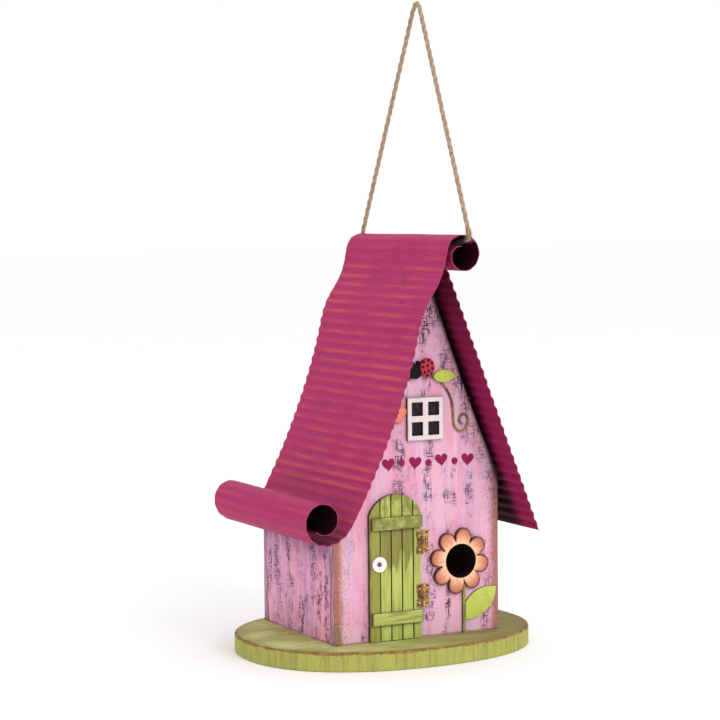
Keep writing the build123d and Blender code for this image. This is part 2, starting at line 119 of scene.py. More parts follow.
# %% [markdown]
# ## The hanging rope
# The rope is jute: three strands laid round each other, 3.5 mm across, pulled tight over a hook by the
# weight of the house. Its line is a smooth spline over the same few points as the solid model's tube, with
# one more point on each side of the hook, about six diameters down, which keeps the long stretches
# straight. The strands follow points read from that spline. A plain round tube with a twisted bump would
# look flat at the outline, so each strand is a real thin tube, wound as a helix.

# %% The rope's route, in millimetres
rope_d = 3.5
rope_lay = 23.0                                          # length of one full twist
front_exit = Vector((28.0, -93.7, 334.5))
back_exit = Vector((26.6, 77.7, 334.5))
hook_front = Vector((27.3, -19.2, 513.4))
hook_back = Vector((27.3, -12.8, 513.4))
front_below_hook = hook_front + (front_exit - hook_front).normalized() * 6 * rope_d
back_below_hook = hook_back + (back_exit - hook_back).normalized() * 6 * rope_d
free_route = [front_exit, front_below_hook, hook_front, hook_back, back_below_hook, back_exit]


def inner_route(leaving, onward, inward):
    """From an exit round the scroll's rim, and along inside the scroll to the knot."""
    rim = leaving - (onward - leaving).normalized() * 4.3
    tuck = Vector((rim.x, rim.y + inward * 1.3, 325.6))
    knot_end = Vector((27.3, -14.0 - inward * 6.0, 322.4))
    return [leaving, rim, tuck, knot_end - Vector((0, inward * 12.0, 0)), knot_end]


front_inner_route = inner_route(front_exit, hook_front, 1)
back_inner_route = inner_route(back_exit, hook_back, -1)


# %% Read a smooth line from a spline
def smooth_line(route, step):
    """Points in metres, about one step apart, along a NURBS spline over the route's points."""
    curve = bpy.data.curves.new("route", "CURVE")
    curve.dimensions = "3D"
    curve.resolution_u = 40
    spline = curve.splines.new("NURBS")
    spline.points.add(len(route) - 1)
    for spot, point in zip(spline.points, route):
        spot.co = (*at(*point), 1)
    spline.order_u = 3
    spline.use_endpoint_u = True
    holder = bpy.data.objects.new("route", curve)
    bpy.context.scene.collection.objects.link(holder)
    line = bpy.data.meshes.new_from_object(holder)
    raw = np.array([v.co for v in line.vertices])
    bpy.data.objects.remove(holder)
    bpy.data.curves.remove(curve)
    bpy.data.meshes.remove(line)
    run = np.concatenate([[0], np.cumsum(np.linalg.norm(np.diff(raw, axis=0), axis=1))])
    count = max(2, round(run[-1] / (step * MM)) + 1)
    wanted = np.linspace(0, run[-1], count)
    return [Vector(p) for p in np.stack([np.interp(wanted, run, raw[:, k]) for k in range(3)],
                                        axis=1)], run[-1]


free_line, free_length = smooth_line(free_route, 0.9)
front_inner_line, _ = smooth_line(front_inner_route, 0.9)
back_inner_line, _ = smooth_line(back_inner_route, 0.9)
print(f"free rope {free_length * 1000:.1f} mm over {len(free_line)} points")


# %% Wind the strands
def frames_of(line, sideways):
    """Each point's direction on a line and two axes across it. The first leans towards sideways(point)."""
    frames = []
    for k, point in enumerate(line):
        along = (line[min(k + 1, len(line) - 1)] - line[max(k - 1, 0)]).normalized()
        across = sideways(point)
        across = (across - along * across.dot(along)).normalized()
        frames.append((along, across, along.cross(across)))
    return frames


def upright_frames(line):
    """Frames for a line that stays near the YZ plane."""
    return frames_of(line, lambda point: Vector((1, 0, 0)))


def new_object(name, mesh):
    """A mesh, or one that is still being edited, as an object of the scene."""
    if isinstance(mesh, bmesh.types.BMesh):
        data = bpy.data.meshes.new(name)
        mesh.to_mesh(data)
        mesh.free()
        mesh = data
    piece = bpy.data.objects.new(name, mesh)
    bpy.context.scene.collection.objects.link(piece)
    return piece


def tube_mesh(name, centres, frames, radius, sides):
    """A closed round tube. Its UV map unrolls it in metres: round it, then along it."""
    rings = []
    mesh = bmesh.new()
    for centre, (_, across, other) in zip(centres, frames):
        ring = [centre + (across * cos(2 * pi * j / sides) + other * sin(2 * pi * j / sides)) * radius
                for j in range(sides)]
        rings.append([mesh.verts.new(p) for p in ring])
    unrolled = mesh.loops.layers.uv.new("unrolled")
    travelled = 0.0
    for k, (ring, following) in enumerate(zip(rings, rings[1:])):
        step = (centres[k + 1] - centres[k]).length
        for j in range(sides):
            face = mesh.faces.new((ring[j], ring[(j + 1) % sides], following[(j + 1) % sides], following[j]))
            for loop, (around, forward) in zip(face.loops, ((j, 0), (j + 1, 0), (j + 1, step), (j, step))):
                loop[unrolled].uv = (around / sides * 2 * pi * radius, travelled + forward)
        travelled += step
    mesh.faces.new(rings[0][::-1])
    mesh.faces.new(rings[-1])
    return new_object(name, mesh)


def laid_rope(name, line, start_turn, strands=3):
    """Strands wound round a line, each a thin tube, joined into one piece."""
    frames = upright_frames(line)
    offset, radius = 0.245 * rope_d * MM, 0.290 * rope_d * MM
    made = []
    for s in range(strands):
        centres = []
        travelled = 0.0
        for k, (point, (_, across, other)) in enumerate(zip(line, frames)):
            travelled += (point - line[k - 1]).length if k else 0
            turn = start_turn + travelled / (rope_lay * MM) + s / strands
            centres.append(point + (across * cos(2 * pi * turn) + other * sin(2 * pi * turn)) * offset)
        made.append(tube_mesh(f"{name}_{s}", centres, frames, radius, 9))
    return join(made, name)


def join(parts, name):
    """One piece from several."""
    bpy.ops.object.select_all(action="DESELECT")
    for part in parts:
        part.select_set(True)
    bpy.context.view_layer.objects.active = parts[0]
    if len(parts) > 1:
        bpy.ops.object.join()
    parts[0].name = name
    return parts[0]


free_rope = laid_rope("jute_rope", free_line, 0.0)
front_inner_rope = laid_rope("jute_rope_front_end", front_inner_line, 0.0)
back_inner_rope = laid_rope("jute_rope_back_end", back_inner_line, free_length / (rope_lay * MM))
print("rope strands:", [len(p.data.polygons) for p in (free_rope, front_inner_rope, back_inner_rope)],
      "faces")


# %% Loose fibres and frayed ends
def fibre(mesh, root, direction, bend, length, thickness):
    """A thin tapering hair with a bend in it, three sides round."""
    sideways = bend.cross(direction).normalized()
    rings = []
    steps = 4
    for k in range(steps):
        share = k / steps
        centre = root + direction * length * share + bend * length * share * share
        width = thickness * (1 - share)
        rings.append([mesh.verts.new(centre + (sideways * cos(a) + bend * sin(a)) * width)
                      for a in (0, 2 * pi / 3, 4 * pi / 3)])
    tip = mesh.verts.new(root + direction * length + bend * length)
    for ring, following in zip(rings, rings[1:]):
        for j in range(3):
            mesh.faces.new((ring[j], ring[(j + 1) % 3], following[(j + 1) % 3], following[j]))
    for j in range(3):
        mesh.faces.new((rings[-1][j], rings[-1][(j + 1) % 3], tip))
    mesh.faces.new(rings[0][::-1])


def fibres_along(name, line, count, length_range, seed, lean=(0, 0, 0), thickness=0.055):
    """Hairs that stand off a rope, the same on every run. lean pulls them all one way."""
    chance = random.Random(seed)
    frames = upright_frames(line)
    mesh = bmesh.new()
    for _ in range(count):
        k = chance.randrange(len(line))
        along, across, other = frames[k]
        turn = chance.uniform(0, 2 * pi)
        outward = across * cos(turn) + other * sin(turn)
        direction = (along * chance.choice((-1, 1)) + outward * chance.uniform(0.15, 0.6)
                     + Vector(lean)).normalized()
        root = line[k] + outward * rope_d * 0.42 * MM
        bend = (outward * 0.3 + across * chance.uniform(-0.3, 0.3)) * chance.uniform(0.2, 0.8)
        fibre(mesh, root, direction, bend, chance.uniform(*length_range) * MM, thickness * MM)
    return new_object(name, mesh)


rope_fibres = fibres_along("rope_fibres", free_line, 520, (1.5, 5.0), 5)
mouth_fibres = fibres_along("rope_mouth_fibres", front_inner_line[:7] + free_line[:4], 230, (3.0, 7.5), 8,
                            (0.1, -0.25, -1.5), 0.11)
print("loose fibres:", len(rope_fibres.data.polygons) + len(mouth_fibres.data.polygons), "faces")

# %% [markdown]
# ## Paint and wood as shader nodes
# Almost everything is hand-painted wood that was sanded and dirtied afterwards: long brush streaks,
# dry-brushed dark specks, brown wood where the edges are worn through, and spatter. Each of these effects
# is a node group that puts out a mask, so that one recipe serves every board, each with its own sizes and
# colours. Patterns are placed by object coordinates, which are metres from the frame's origin, so a stretch
# of 250 makes marks of about 1/250 m. Masks are combined by sums. A small class stands for a node's output,
# so that a sum can be written as one: adding or multiplying two outputs places the Math node that does it.

# %% Colours
def srgb(red, green, blue):
    """A colour given as 0 to 255, as the linear colour that shaders use."""
    shares = [c / 255 for c in (red, green, blue)]
    return (*[c / 12.92 if c <= 0.04045 else ((c + 0.055) / 1.055) ** 2.4 for c in shares], 1.0)


print("pure magenta is", [round(c, 3) for c in srgb(255, 0, 255)])


# %% A node's output that can be reckoned with
def reckoning(operation, swapped=False):
    """A method that places one Math node for a sum on two values."""
    def method(self, other):
        return calc(operation, *((other, self) if swapped else (self, other)))
    return method


class Signal:
    """One output of a node. A sum on it places a Math node in the same tree."""
    __add__, __radd__ = reckoning("ADD"), reckoning("ADD", True)
    __sub__, __rsub__ = reckoning("SUBTRACT"), reckoning("SUBTRACT", True)
    __mul__, __rmul__ = reckoning("MULTIPLY"), reckoning("MULTIPLY", True)
    __truediv__, __rtruediv__ = reckoning("DIVIDE"), reckoning("DIVIDE", True)
    __pow__ = reckoning("POWER")

    def __init__(self, tree, socket):
        self.tree, self.socket = tree, socket

    def __abs__(self):
        return calc("ABSOLUTE", self)


# %% Wires and nodes
def wire(value, socket):
    """Links a Signal to a socket, or sets the socket to a plain value."""
    if isinstance(value, Signal):
        value.tree.links.new(value.socket, socket)
    else:
        socket.default_value = value


def put(kind, feeds, output=0, tree=None, **settings):
    """Adds a node beside what feeds it, sets its options and gives one of its outputs."""
    tree = tree or next(value.tree for value in feeds.values() if isinstance(value, Signal))
    node = tree.nodes.new("ShaderNode" + kind)
    for name, value in settings.items():
        setattr(node, name, value)
    for key, value in feeds.items():
        wire(value, node.inputs[key])
    return Signal(tree, node.outputs[output])


def every_output(signal):
    """All the outputs of the node that a Signal comes from."""
    return [Signal(signal.tree, socket) for socket in signal.socket.node.outputs]


def parts_of(vector):
    return every_output(put("SeparateXYZ", {0: vector}))


# %% Short ways to write common nodes
def calc(operation, *terms):
    return put("Math", dict(enumerate(terms)), operation=operation)


def higher(first, second):
    return calc("MAXIMUM", first, second)


def lower(first, second):
    return calc("MINIMUM", first, second)


def stretched(vector, stretch):
    return put("VectorMath", {0: vector, 1: stretch}, operation="MULTIPLY")


def cloud(vector, stretch, detail=3.0, roughness=0.55):
    """Noise from 0 to 1, with marks about 1/stretch metres in size."""
    feeds = {"Vector": stretched(vector, stretch), "Scale": 1.0, "Detail": detail, "Roughness": roughness}
    return put("TexNoise", feeds, "Fac")


def ramp(value, low, high):
    """0 up to low, 1 from high, and smooth between; low may be the larger."""
    feeds = {"Value": value, "From Min": low, "From Max": high}
    return put("MapRange", feeds, interpolation_type="SMOOTHSTEP")


def mix(mask, first, second):
    return put("Mix", {0: mask, 6: first, 7: second}, 2, data_type="RGBA")


# %% Node groups
def new_group(name, inputs, outputs=("Mask",)):
    """An empty node group, its inputs as Signals by name, and its output's sockets."""
    group = bpy.data.node_groups.new(name, "ShaderNodeTree")
    for socket, default in inputs.items():
        kind = "NodeSocketVector" if isinstance(default, tuple) else "NodeSocketFloat"
        group.interface.new_socket(socket, in_out="INPUT", socket_type=kind).default_value = default
    for socket in outputs:
        group.interface.new_socket(socket, in_out="OUTPUT", socket_type="NodeSocketFloat")
    entry = group.nodes.new("NodeGroupInput")
    given = {socket: Signal(group, entry.outputs[socket]) for socket in inputs}
    return group, given, group.nodes.new("NodeGroupOutput").inputs


def use(group, **feeds):
    """Places a node group beside what feeds it and gives its first output."""
    return put("Group", {name.replace("_", " "): value for name, value in feeds.items()}, node_tree=group)


print("node shorthand ready")

# %% Shared effect: brush streaks
streaks, given, result = new_group("brush streaks", {"Vector": (0, 0, 0), "Stretch": (1, 1, 1), "From": 0.45,
                                                     "To": 0.65})
marks = cloud(given["Vector"], given["Stretch"], 4.0, 0.62)
wire(ramp(marks, given["From"], given["To"]), result["Mask"])
print("group", streaks.name)

# %% Shared effect: an edge worn through to the wood
worn, given, result = new_group("worn edge", {"Vector": (0, 0, 0), "Distance": 0.0, "Width": 0.002})
ragged = cloud(given["Vector"], (420, 420, 420), 4.0, 0.65)
drift = cloud(given["Vector"], (40, 40, 40), 2.0, 0.5)
shift = (ragged + drift - 1.0) * 1.6
depth = given["Distance"] / given["Width"] + shift
wire(ramp(depth, 1.15, 0.75), result["Mask"])
print("group", worn.name)

# %% Shared effect: spatter, small dark dots that get denser where Amount is higher
spatter, given, result = new_group("spatter", {"Vector": (0, 0, 0), "Stretch": (1, 1, 1), "Amount": 0.5})
moved = stretched(given["Vector"], given["Stretch"])
distance, cell_colour, *_ = every_output(put("TexVoronoi",
                                             {"Vector": moved, "Scale": 1.0, "Randomness": 1.0}))
chance = put("SeparateColor", {"Color": cell_colour})
kept = calc("LESS_THAN", chance, given["Amount"])
wire(ramp(distance, 0.42, 0.26) * kept, result["Mask"])
print("group", spatter.name)

# %% Shared effect: dry brushing, dark paint that caught only on the high threads of the first coat
dry_brush, given, result = new_group("dry brush", {"Vector": (0, 0, 0), "Warp Stretch": (1, 1, 1),
                                                   "Weft Stretch": (1, 1, 1), "Band": 0.5})
warp = cloud(given["Vector"], given["Warp Stretch"], 2.0, 0.5)
weft = cloud(given["Vector"], given["Weft Stretch"], 2.0, 0.5)
threads = higher(ramp(warp, 0.5, 0.57), ramp(weft, 0.51, 0.58))
patchy = ramp(cloud(given["Vector"], (120, 120, 90), 3.0, 0.6), 0.36, 0.62)
wire(threads * patchy * given["Band"], result["Mask"])
print("group", dry_brush.name)

# %% Begin and end a material
def begin(name):
    """A new material, its object coordinates whole and in parts, and its shader."""
    material = bpy.data.materials.new(name)
    material.use_nodes = True
    place = put("TexCoord", {}, "Object", material.node_tree)
    return material, place, parts_of(place), material.node_tree.nodes["Principled BSDF"]


def finish_material(shader, colour, roughness, height, bump_mm, strength=0.6, **fixed):
    """Wires colour, roughness and bump into the shader, and sets its fixed values on its own sockets."""
    wire(colour, shader.inputs["Base Color"])
    wire(roughness, shader.inputs["Roughness"])
    bump = put("Bump", {"Height": height, "Distance": bump_mm * MM, "Strength": strength})
    wire(bump, shader.inputs["Normal"])
    for socket, value in fixed.items():
        shader.inputs[socket.replace("_", " ")].default_value = value


def facing(place):
    """The three parts of the surface normal, in the tree that place belongs to."""
    return parts_of(put("NewGeometry", {}, "Normal", place.tree))


def from_axis(place, middle):
    """How far a place is from a line that runs from front to back. The middle's y is 0."""
    return put("VectorMath", {0: stretched(place, (1, 0, 1)), 1: middle}, "Value", operation="DISTANCE")


# %% [markdown]
# ## Pink walls
# The box is painted pale pink over lavender, with brush streaks that run up and down. Dark plum was
# dry-brushed over it in a few narrow upright bands, which are listed by their middle, half width, foot and
# head. The front's upright edges were sanded to orange-brown wood, with dark spatter beside them. Painted
# shade goes nearly black close under the right roof sheet. It also darkens the side walls below the roof,
# the panels' end faces at the corners, and the entrance's cut face. The inside is bare, stained wood, which
# is seen when the door is open.

# %% Bare wood, as colours for the insides
bare_light, bare_dark = srgb(112, 86, 62), srgb(76, 56, 40)


def bare_wood(place, stretch):
    grain = use(streaks, Vector=place, Stretch=stretch, From=0.35, To=0.68)
    return mix(grain, bare_light, bare_dark)


# %% Where the walls, the gable's right edge and the entrance are
wall_low, wall_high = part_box("front_wall")
gable_foot = at(76.7, 0, 139.7)
gable_run = (at(18.3, 0, 288.0) - gable_foot).normalized()
hole_middle, hole_radius = at(40.8, 0, 72.4), 13.4 * MM
front_bands = [(-13, 4.5, 112, 178), (13, 4.0, 14, 225), (30, 2.4, 14, 128), (37, 1.8, 118, 150),
               (51, 3.8, 84, 140), (46, 2.6, 160, 215), (66, 3.8, 14, 62), (-45, 2.6, 14, 40),
               (7, 3.2, 14, 36), (-4, 2.6, 205, 226), (13, 4.6, 238, 292), (28, 2.4, 225, 250)]
side_bands = [(72, 6.0, 14, 100), (62, 3.0, 40, 96), (50, 6.0, 50, 100), (24, 6.5, 14, 56), (28, 3.0, 50, 96),
              (4, 5.0, 14, 46), (-16, 6.0, 46, 100), (-26, 4.6, 14, 84), (-40, 5.0, 14, 96),
              (-49, 2.4, 14, 96)]


# %% The wall finish, for a panel or for a side wall
def wall_paint(name, dark_bands, inside, tones, richness):
    """A painted wall. inside: the axis and sign of its raw face, y on a panel and x on a side wall."""
    material, place, (x, y, z), shader = begin(name)
    is_panel = inside[0] == 1
    along = x if is_panel else y
    light, mid, lilac = tones
    colour = mix(ramp(cloud(place, (44, 44, 16), 3.0), 0.38, 0.62), light, mid)
    lavender = use(streaks, Vector=place, Stretch=(170, 170, 8), From=0.46, To=0.6)
    colour = mix(lavender * 0.62, colour, lilac)
    pale = use(streaks, Vector=place, Stretch=(420, 420, 14), From=0.55, To=0.7)
    colour = mix(pale * (0.5 - 0.1 * richness), colour, srgb(228, 194, 206))
    grey = use(streaks, Vector=place, Stretch=(640, 640, 26), From=0.56, To=0.69)
    colour = mix(grey * (0.2 + 0.1 * richness), colour, srgb(150, 102, 138))

    # the dark dry-brushed bands, one after another
    band = 0.0
    wandering = along + (cloud(place, (12, 12, 26), 3.0) - 0.5) * 0.018
    for middle, half, low, high in dark_bands:
        across = abs(wandering - middle * MM)
        strip = ramp(across, (half + 1.6) * MM, (half - 1.4) * MM)
        ends = ramp(z, (low - 9) * MM, (low + 5) * MM) * ramp(z, (high + 9) * MM, (high - 5) * MM)
        band = higher(band, strip * ends)
    band = band * ramp(cloud(place, (70, 70, 40), 3.0), 0.3 - 0.08 * richness, 0.48 - 0.08 * richness)
    lines = use(dry_brush, Vector=place, Warp_Stretch=(700, 700, 130), Weft_Stretch=(170, 170, 640),
                Band=band)
    colour = mix(band * 0.16, colour, srgb(176, 132, 170))
    colour = mix(lines * 0.94, colour, srgb(56, 38, 62))
    stray = use(dry_brush, Vector=place, Warp_Stretch=(800, 800, 170), Weft_Stretch=(280, 280, 800),
                Band=ramp(cloud(place, (75, 75, 26), 3.0), 0.5 - 0.06 * richness, 0.66))
    colour = mix(stray * (0.42 + 0.25 * richness), colour, srgb(104, 64, 108))

    ends = (wall_low.x, wall_high.x) if is_panel else (wall_low.y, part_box("back_wall")[1].y)
    to_edge = lower(along - ends[0], ends[1] - along)
    normal = facing(place)
    if is_panel:
        # sanded edges with spatter beside them, dark smudges along the gable's edge, and painted shadow close
        # under the roof
        lighter = ramp(x, 0.02, -0.02)
        on_face = ramp(abs(normal[1]), 0.5, 0.7)
        cream = ramp(to_edge, 0.014, 0.005) * on_face
        colour = mix(cream * lighter * 0.38, colour, srgb(226, 190, 174))
        ragged = (cloud(place, (160, 160, 50), 3.0) - 0.5) * 0.006
        brown = ramp(to_edge + ragged, 0.0094, 0.0024) * on_face
        wood = mix(lighter, srgb(156, 100, 86), srgb(160, 92, 62))
        wood = mix(ramp(z, 0.04, 0.018) * lighter, wood, srgb(126, 100, 58))
        colour = mix(brown * 0.88, colour, wood)
        near = ramp(to_edge, 0.018, 0.0035) * on_face
        dirt = use(spatter, Vector=place, Stretch=(1000, 1000, 760), Amount=near * 0.7)
        colour = mix(dirt * 0.74, colour, srgb(84, 50, 54))
        gable = (gable_foot.x - x) * gable_run.z - (gable_foot.z - z) * gable_run.x
        smudge = use(dry_brush, Vector=place, Warp_Stretch=(700, 700, 130), Weft_Stretch=(170, 170, 640),
                     Band=ramp(gable, 0.021, 0.003))
        colour = mix(smudge * 0.8, colour, srgb(66, 40, 66))
        # painted shadow: a near-black band right along the gable's edge, under the right roof sheet
        colour = mix(ramp(gable, 0.0055, 0.0012) * 0.88, colour, srgb(34, 14, 28))
        # dark streaks on the panels' end faces, which also paint the shade along the corners
        on_end = ramp(abs(normal[0]), 0.5, 0.7)
        end_streaks_and_shade = use(streaks, Vector=place, Stretch=(600, 600, 36), From=0.38, To=0.56)
        colour = mix(on_end * (end_streaks_and_shade * 0.75), colour, srgb(84, 54, 82))
        # painted shade: the entrance's cut face near-black, as the hole is dark inside
        hole_shade = ramp(from_axis(place, hole_middle), hole_radius + 0.8 * MM, hole_radius + 0.3 * MM)
        hole_shade = hole_shade * ramp(y, -0.040, -0.044)
    else:
        # dark drips along the corners, and painted shade below the eave
        drips = use(streaks, Vector=place, Stretch=(1500, 1500, 30), From=0.4, To=0.56)
        corner = ramp(to_edge, 0.006, 0.001) * drips
        colour = mix(corner * 0.75, colour, srgb(76, 54, 92))
        # painted shade: the top of the side wall darker in patches, under the roof
        eave_shade = ramp(z, 0.072, 0.094) * ramp(cloud(place, (200, 200, 50), 3.0), 0.3, 0.6)
        colour = mix(eave_shade * 0.62, colour, srgb(104, 58, 104))
    foot = use(worn, Vector=place, Distance=z - wall_low.z, Width=0.0012)
    colour = mix(foot * 0.6, colour, srgb(128, 82, 92))

    # the bare inside, and painted shade: the entrance's cut face near-black
    axis, sign = inside
    raw = ramp(normal[axis] * sign, 0.4, 0.6)
    colour = mix(raw, colour, bare_wood(place, (300, 300, 12)))
    if is_panel:
        colour = mix(hole_shade, colour, srgb(16, 9, 12))
    height = pale * 0.5 - lines * 0.4 + cloud(place, (900, 900, 80), 3.0) * 0.6
    finish_material(shader, colour, 0.62, height, 0.16, 0.55, Specular_IOR_Level=0.3)
    return material


panel_tones = (srgb(222, 152, 176), srgb(222, 170, 190), srgb(208, 172, 204))
side_tones = (srgb(248, 166, 192), srgb(228, 164, 196), srgb(198, 150, 200))
front_paint = wall_paint("pink_front_paint", front_bands, (1, 1), panel_tones, 0.0)
back_paint = wall_paint("pink_back_paint", front_bands, (1, -1), panel_tones, 0.0)
left_paint = wall_paint("pink_left_paint", side_bands, (0, 1), side_tones, 1.0)
right_paint = wall_paint("pink_right_paint", side_bands, (0, -1), side_tones, 1.0)
print("wall paints:", [m.name for m in (front_paint, back_paint, left_paint, right_paint)])

# %% [markdown]
# ## Magenta roof paint
# The steel was sprayed magenta and rubbed with copper-brown on the crests of its waves and with violet
# between them, in long soft streaks. The lighter crests also stand for painted highlights along the waves.
# The sheet's own UV map is its flat size in metres: u runs up the slope and v from front to back, so the
# crests are a sine of u and the streaks stretch along v. The inside of the rolls gets painted shade, a very
# dark plum; a list of stretches of u says where that is. The right sheet's underside gets painted shade too.

# %% Roof finish
wave_pitch = 8.2 * MM
dent_rows = [(54 * MM, 9 * MM), (109 * MM, 9 * MM)]     # each group's middle, from the front, and half width


def roof_paint(name, streak_amount, base_colour, shade_colour, shade_stretches=(), dents_at=None,
               shade_by_wall=False):
    """shade_stretches: stretches of painted shade, each the u where it starts, the u where it is full, and
    how dark.
    dents_at: the scratches' u. shade_by_wall: painted shade on the underside as well, from close to the front
    wall on and farther in."""
    material, place, _, shader = begin(name)
    unrolled = put("UVMap", {}, tree=place.tree, uv_map="unrolled")
    u, v, _ = parts_of(unrolled)
    crest = calc("SINE", u * (2 * pi / wave_pitch))
    colour = mix(cloud(unrolled, (60, 14, 1), 3.0), base_colour, shade_colour)
    violet = use(streaks, Vector=unrolled, Stretch=(260, 11, 1), From=0.44, To=0.62)
    violet = violet * ramp(crest, 0.3, -0.8)
    colour = mix(violet * 0.45, colour, srgb(148, 34, 106))
    # copper-brown rubbed on the crests, which also paints a highlight along each wave's crest
    long_marks = use(streaks, Vector=unrolled, Stretch=(150, 9, 1), From=0.4, To=0.6)
    patch = ramp(cloud(unrolled, (22, 17, 1), 2.0), 0.28, 0.62)
    on_crest = ramp(crest, -0.1, 0.9)
    rubbed = (long_marks * 0.75 + 0.25) * (on_crest * patch)
    colour = mix(rubbed * streak_amount, colour, srgb(198, 84, 88))
    fine = use(streaks, Vector=unrolled, Stretch=(800, 26, 1), From=0.54, To=0.7)
    colour = mix(fine * (0.3 * streak_amount), colour, srgb(206, 104, 100))
    scratched = 0.0
    if dents_at:
        lines = use(streaks, Vector=unrolled, Stretch=(60, 420, 1), From=0.5, To=0.6)
        level = ramp(abs(u - dents_at), 9 * MM, 5 * MM)
        for middle, half in dent_rows:
            group = ramp(abs(v - middle), half, half - 3 * MM)
            cut = group * level * lines
            scratched = higher(scratched, cut)
        colour = mix(scratched * 0.6, colour, srgb(124, 26, 78))
    # painted shade: very dark plum inside the rolls and up under the ridge
    for start, full, share in shade_stretches:
        colour = mix(ramp(u, start * MM, full * MM) * share, colour, srgb(40, 10, 28))
    if shade_by_wall:
        # painted shade: the underside near-black from a little before the front wall and farther in
        behind = ramp(v, 0.016, 0.034)
        colour = mix(behind * 0.92, colour, srgb(26, 4, 16))
    height = scratched * -3.0 + cloud(unrolled, (500, 60, 1), 3.0)
    roughness = put("MapRange", {"Value": rubbed, "To Min": 0.5, "To Max": 0.62})
    finish_material(shader, colour, roughness, height, 0.1, 0.5, Specular_IOR_Level=0.09)
    return material


magenta, magenta_shade = srgb(174, 38, 96), srgb(162, 32, 92)
# painted shade inside the rolls: where it starts, where it is full, and how dark
eave_roll_shade = [(122, 104, 0.45), (86, 72, 0.93)]         # on the left sheet's top, inside the eave's roll
ridge_roll_shade = [(332, 346, 0.93)]                        # on its underside, inside the ridge's roll
left_top_paint = roof_paint("magenta_left_top", 0.70, magenta, magenta_shade, eave_roll_shade, 320 * MM)
left_under_paint = roof_paint("magenta_left_under", 0.40, magenta, magenta_shade, ridge_roll_shade)
right_top_paint = roof_paint("magenta_right_top", 0.85, magenta, magenta_shade)
# the right sheet's underside: darker magenta and a near-black stretch up the slope, both painted shade under
# the roof
right_under_paint = roof_paint("magenta_right_under", 0.12, srgb(160, 34, 88), srgb(134, 20, 74),
                               [(120, 250, 0.8)], None, True)

# %% The cut edge of the steel, where the paint is thin and rubbed pale
cut_edge_paint, place, _, shader = begin("roof_cut_edge")
colour = mix(cloud(place, (500, 500, 500), 3.0), srgb(158, 54, 92), srgb(128, 34, 76))
finish_material(shader, colour, 0.5, cloud(place, (900, 900, 900), 2.0), 0.05, Specular_IOR_Level=0.4)

nail_paint, place, _, shader = begin("magenta_nail_paint")
colour = mix(cloud(place, (700, 700, 700), 3.0), srgb(184, 56, 100), srgb(174, 50, 98))
finish_material(shader, colour, 0.6, cloud(place, (1500, 1500, 1500), 2.0), 0.05, Specular_IOR_Level=0.22)
print("roof paints ready, waves", round(wave_pitch * 1000, 2), "mm apart")

# %% [markdown]
# ## Lime and olive paint
# The door, the base and the leaves share a family of yellow greens. Each board was painted lime, dragged over
# with olive along its grain and shaded with brown near its edges. Cut faces that look sideways are painted
# dark brown, which also stands for the shade on these narrow sides and in the gaps between the planks. The
# planks also get painted shade along the battens' lower edges.

# %% Green wood finish
def green_wood(name, light, mid, dark, stretch, edge_axis=None, shade=None, dirt=0.45):
    """Green paint with grain. edge_axis: 1 darkens a front piece's cut faces. shade: adds darker parts."""
    material, place, parts, shader = begin(name)
    colour = mix(cloud(place, tuple(s * 0.22 for s in stretch), 3.0), light, mid)
    grain = use(streaks, Vector=place, Stretch=stretch, From=0.47, To=0.66)
    colour = mix(grain * (0.3 + 0.6 * dirt), colour, dark)
    fine = use(streaks, Vector=place, Stretch=tuple(s * 2.6 for s in stretch), From=0.55, To=0.7)
    colour = mix(fine * dirt, colour, srgb(98, 90, 44))
    if shade:
        colour = shade(place, parts, colour)
    if edge_axis is not None:
        # cut faces that look sideways painted dark brown, also standing for painted shade on the narrow sides
        # and in the gaps
        cut = ramp(abs(facing(place)[edge_axis]), 0.75, 0.45)
        colour = mix(cut * 0.88, colour, srgb(58, 42, 30))
    height = cloud(place, stretch, 4.0, 0.6) - fine * 0.6
    finish_material(shader, colour, 0.66, height, 0.2, 0.6, Specular_IOR_Level=0.16)
    return material


lime, mid_lime, olive = srgb(190, 198, 106), srgb(170, 178, 92), srgb(128, 134, 64)
brown_shade = srgb(88, 66, 40)
door_low, door_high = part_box("door_plank_1")[0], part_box("door_plank_5")[1]
upper_batten_low, upper_batten_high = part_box("door_upper_batten")
lower_batten_low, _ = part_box("door_lower_batten")


def door_shade(place, parts, colour):
    """Brown glaze on the arch and below the upper batten, painted shade along the battens' lower edges, and
    brown down the left side.
    """
    x, y, z = parts
    mottle = ramp(cloud(place, (150, 150, 60), 3.0, 0.6), 0.42, 0.6)
    arch = ramp(z, upper_batten_high.z - 0.002, upper_batten_high.z + 0.004) * mottle
    colour = mix(arch * 0.62, colour, srgb(104, 92, 50))
    below = upper_batten_low.z - z
    wander = cloud(place, (240, 240, 22), 3.0) * 0.06
    patch = ramp(below - wander, 0.002, -0.008)
    middle = ramp(x, door_low.x + 0.007, door_low.x + 0.012)
    middle = middle * ramp(x, door_high.x - 0.001, door_high.x - 0.010)
    drawn = patch * ramp(below, -0.001, 0.001)
    colour = mix(drawn * middle * 0.7, colour, srgb(106, 94, 48))
    # painted shade: dark brown on the planks along the battens' lower edges
    shade_below_battens = higher(ramp(abs(z - upper_batten_low.z), 0.004, 0.0),
                        ramp(abs(z - lower_batten_low.z), 0.003, 0.0))
    colour = mix(shade_below_battens * 0.6, colour, brown_shade)
    first = ramp(x - door_low.x, 0.0092, 0.0084)
    colour = mix(first * 0.75, colour, srgb(136, 134, 62))
    left = ramp(x - door_low.x, 0.0035, 0.0)
    rubbed = use(streaks, Vector=place, Stretch=(300, 300, 60), From=0.4, To=0.62)
    return mix(left * rubbed * 0.7, colour, brown_shade)


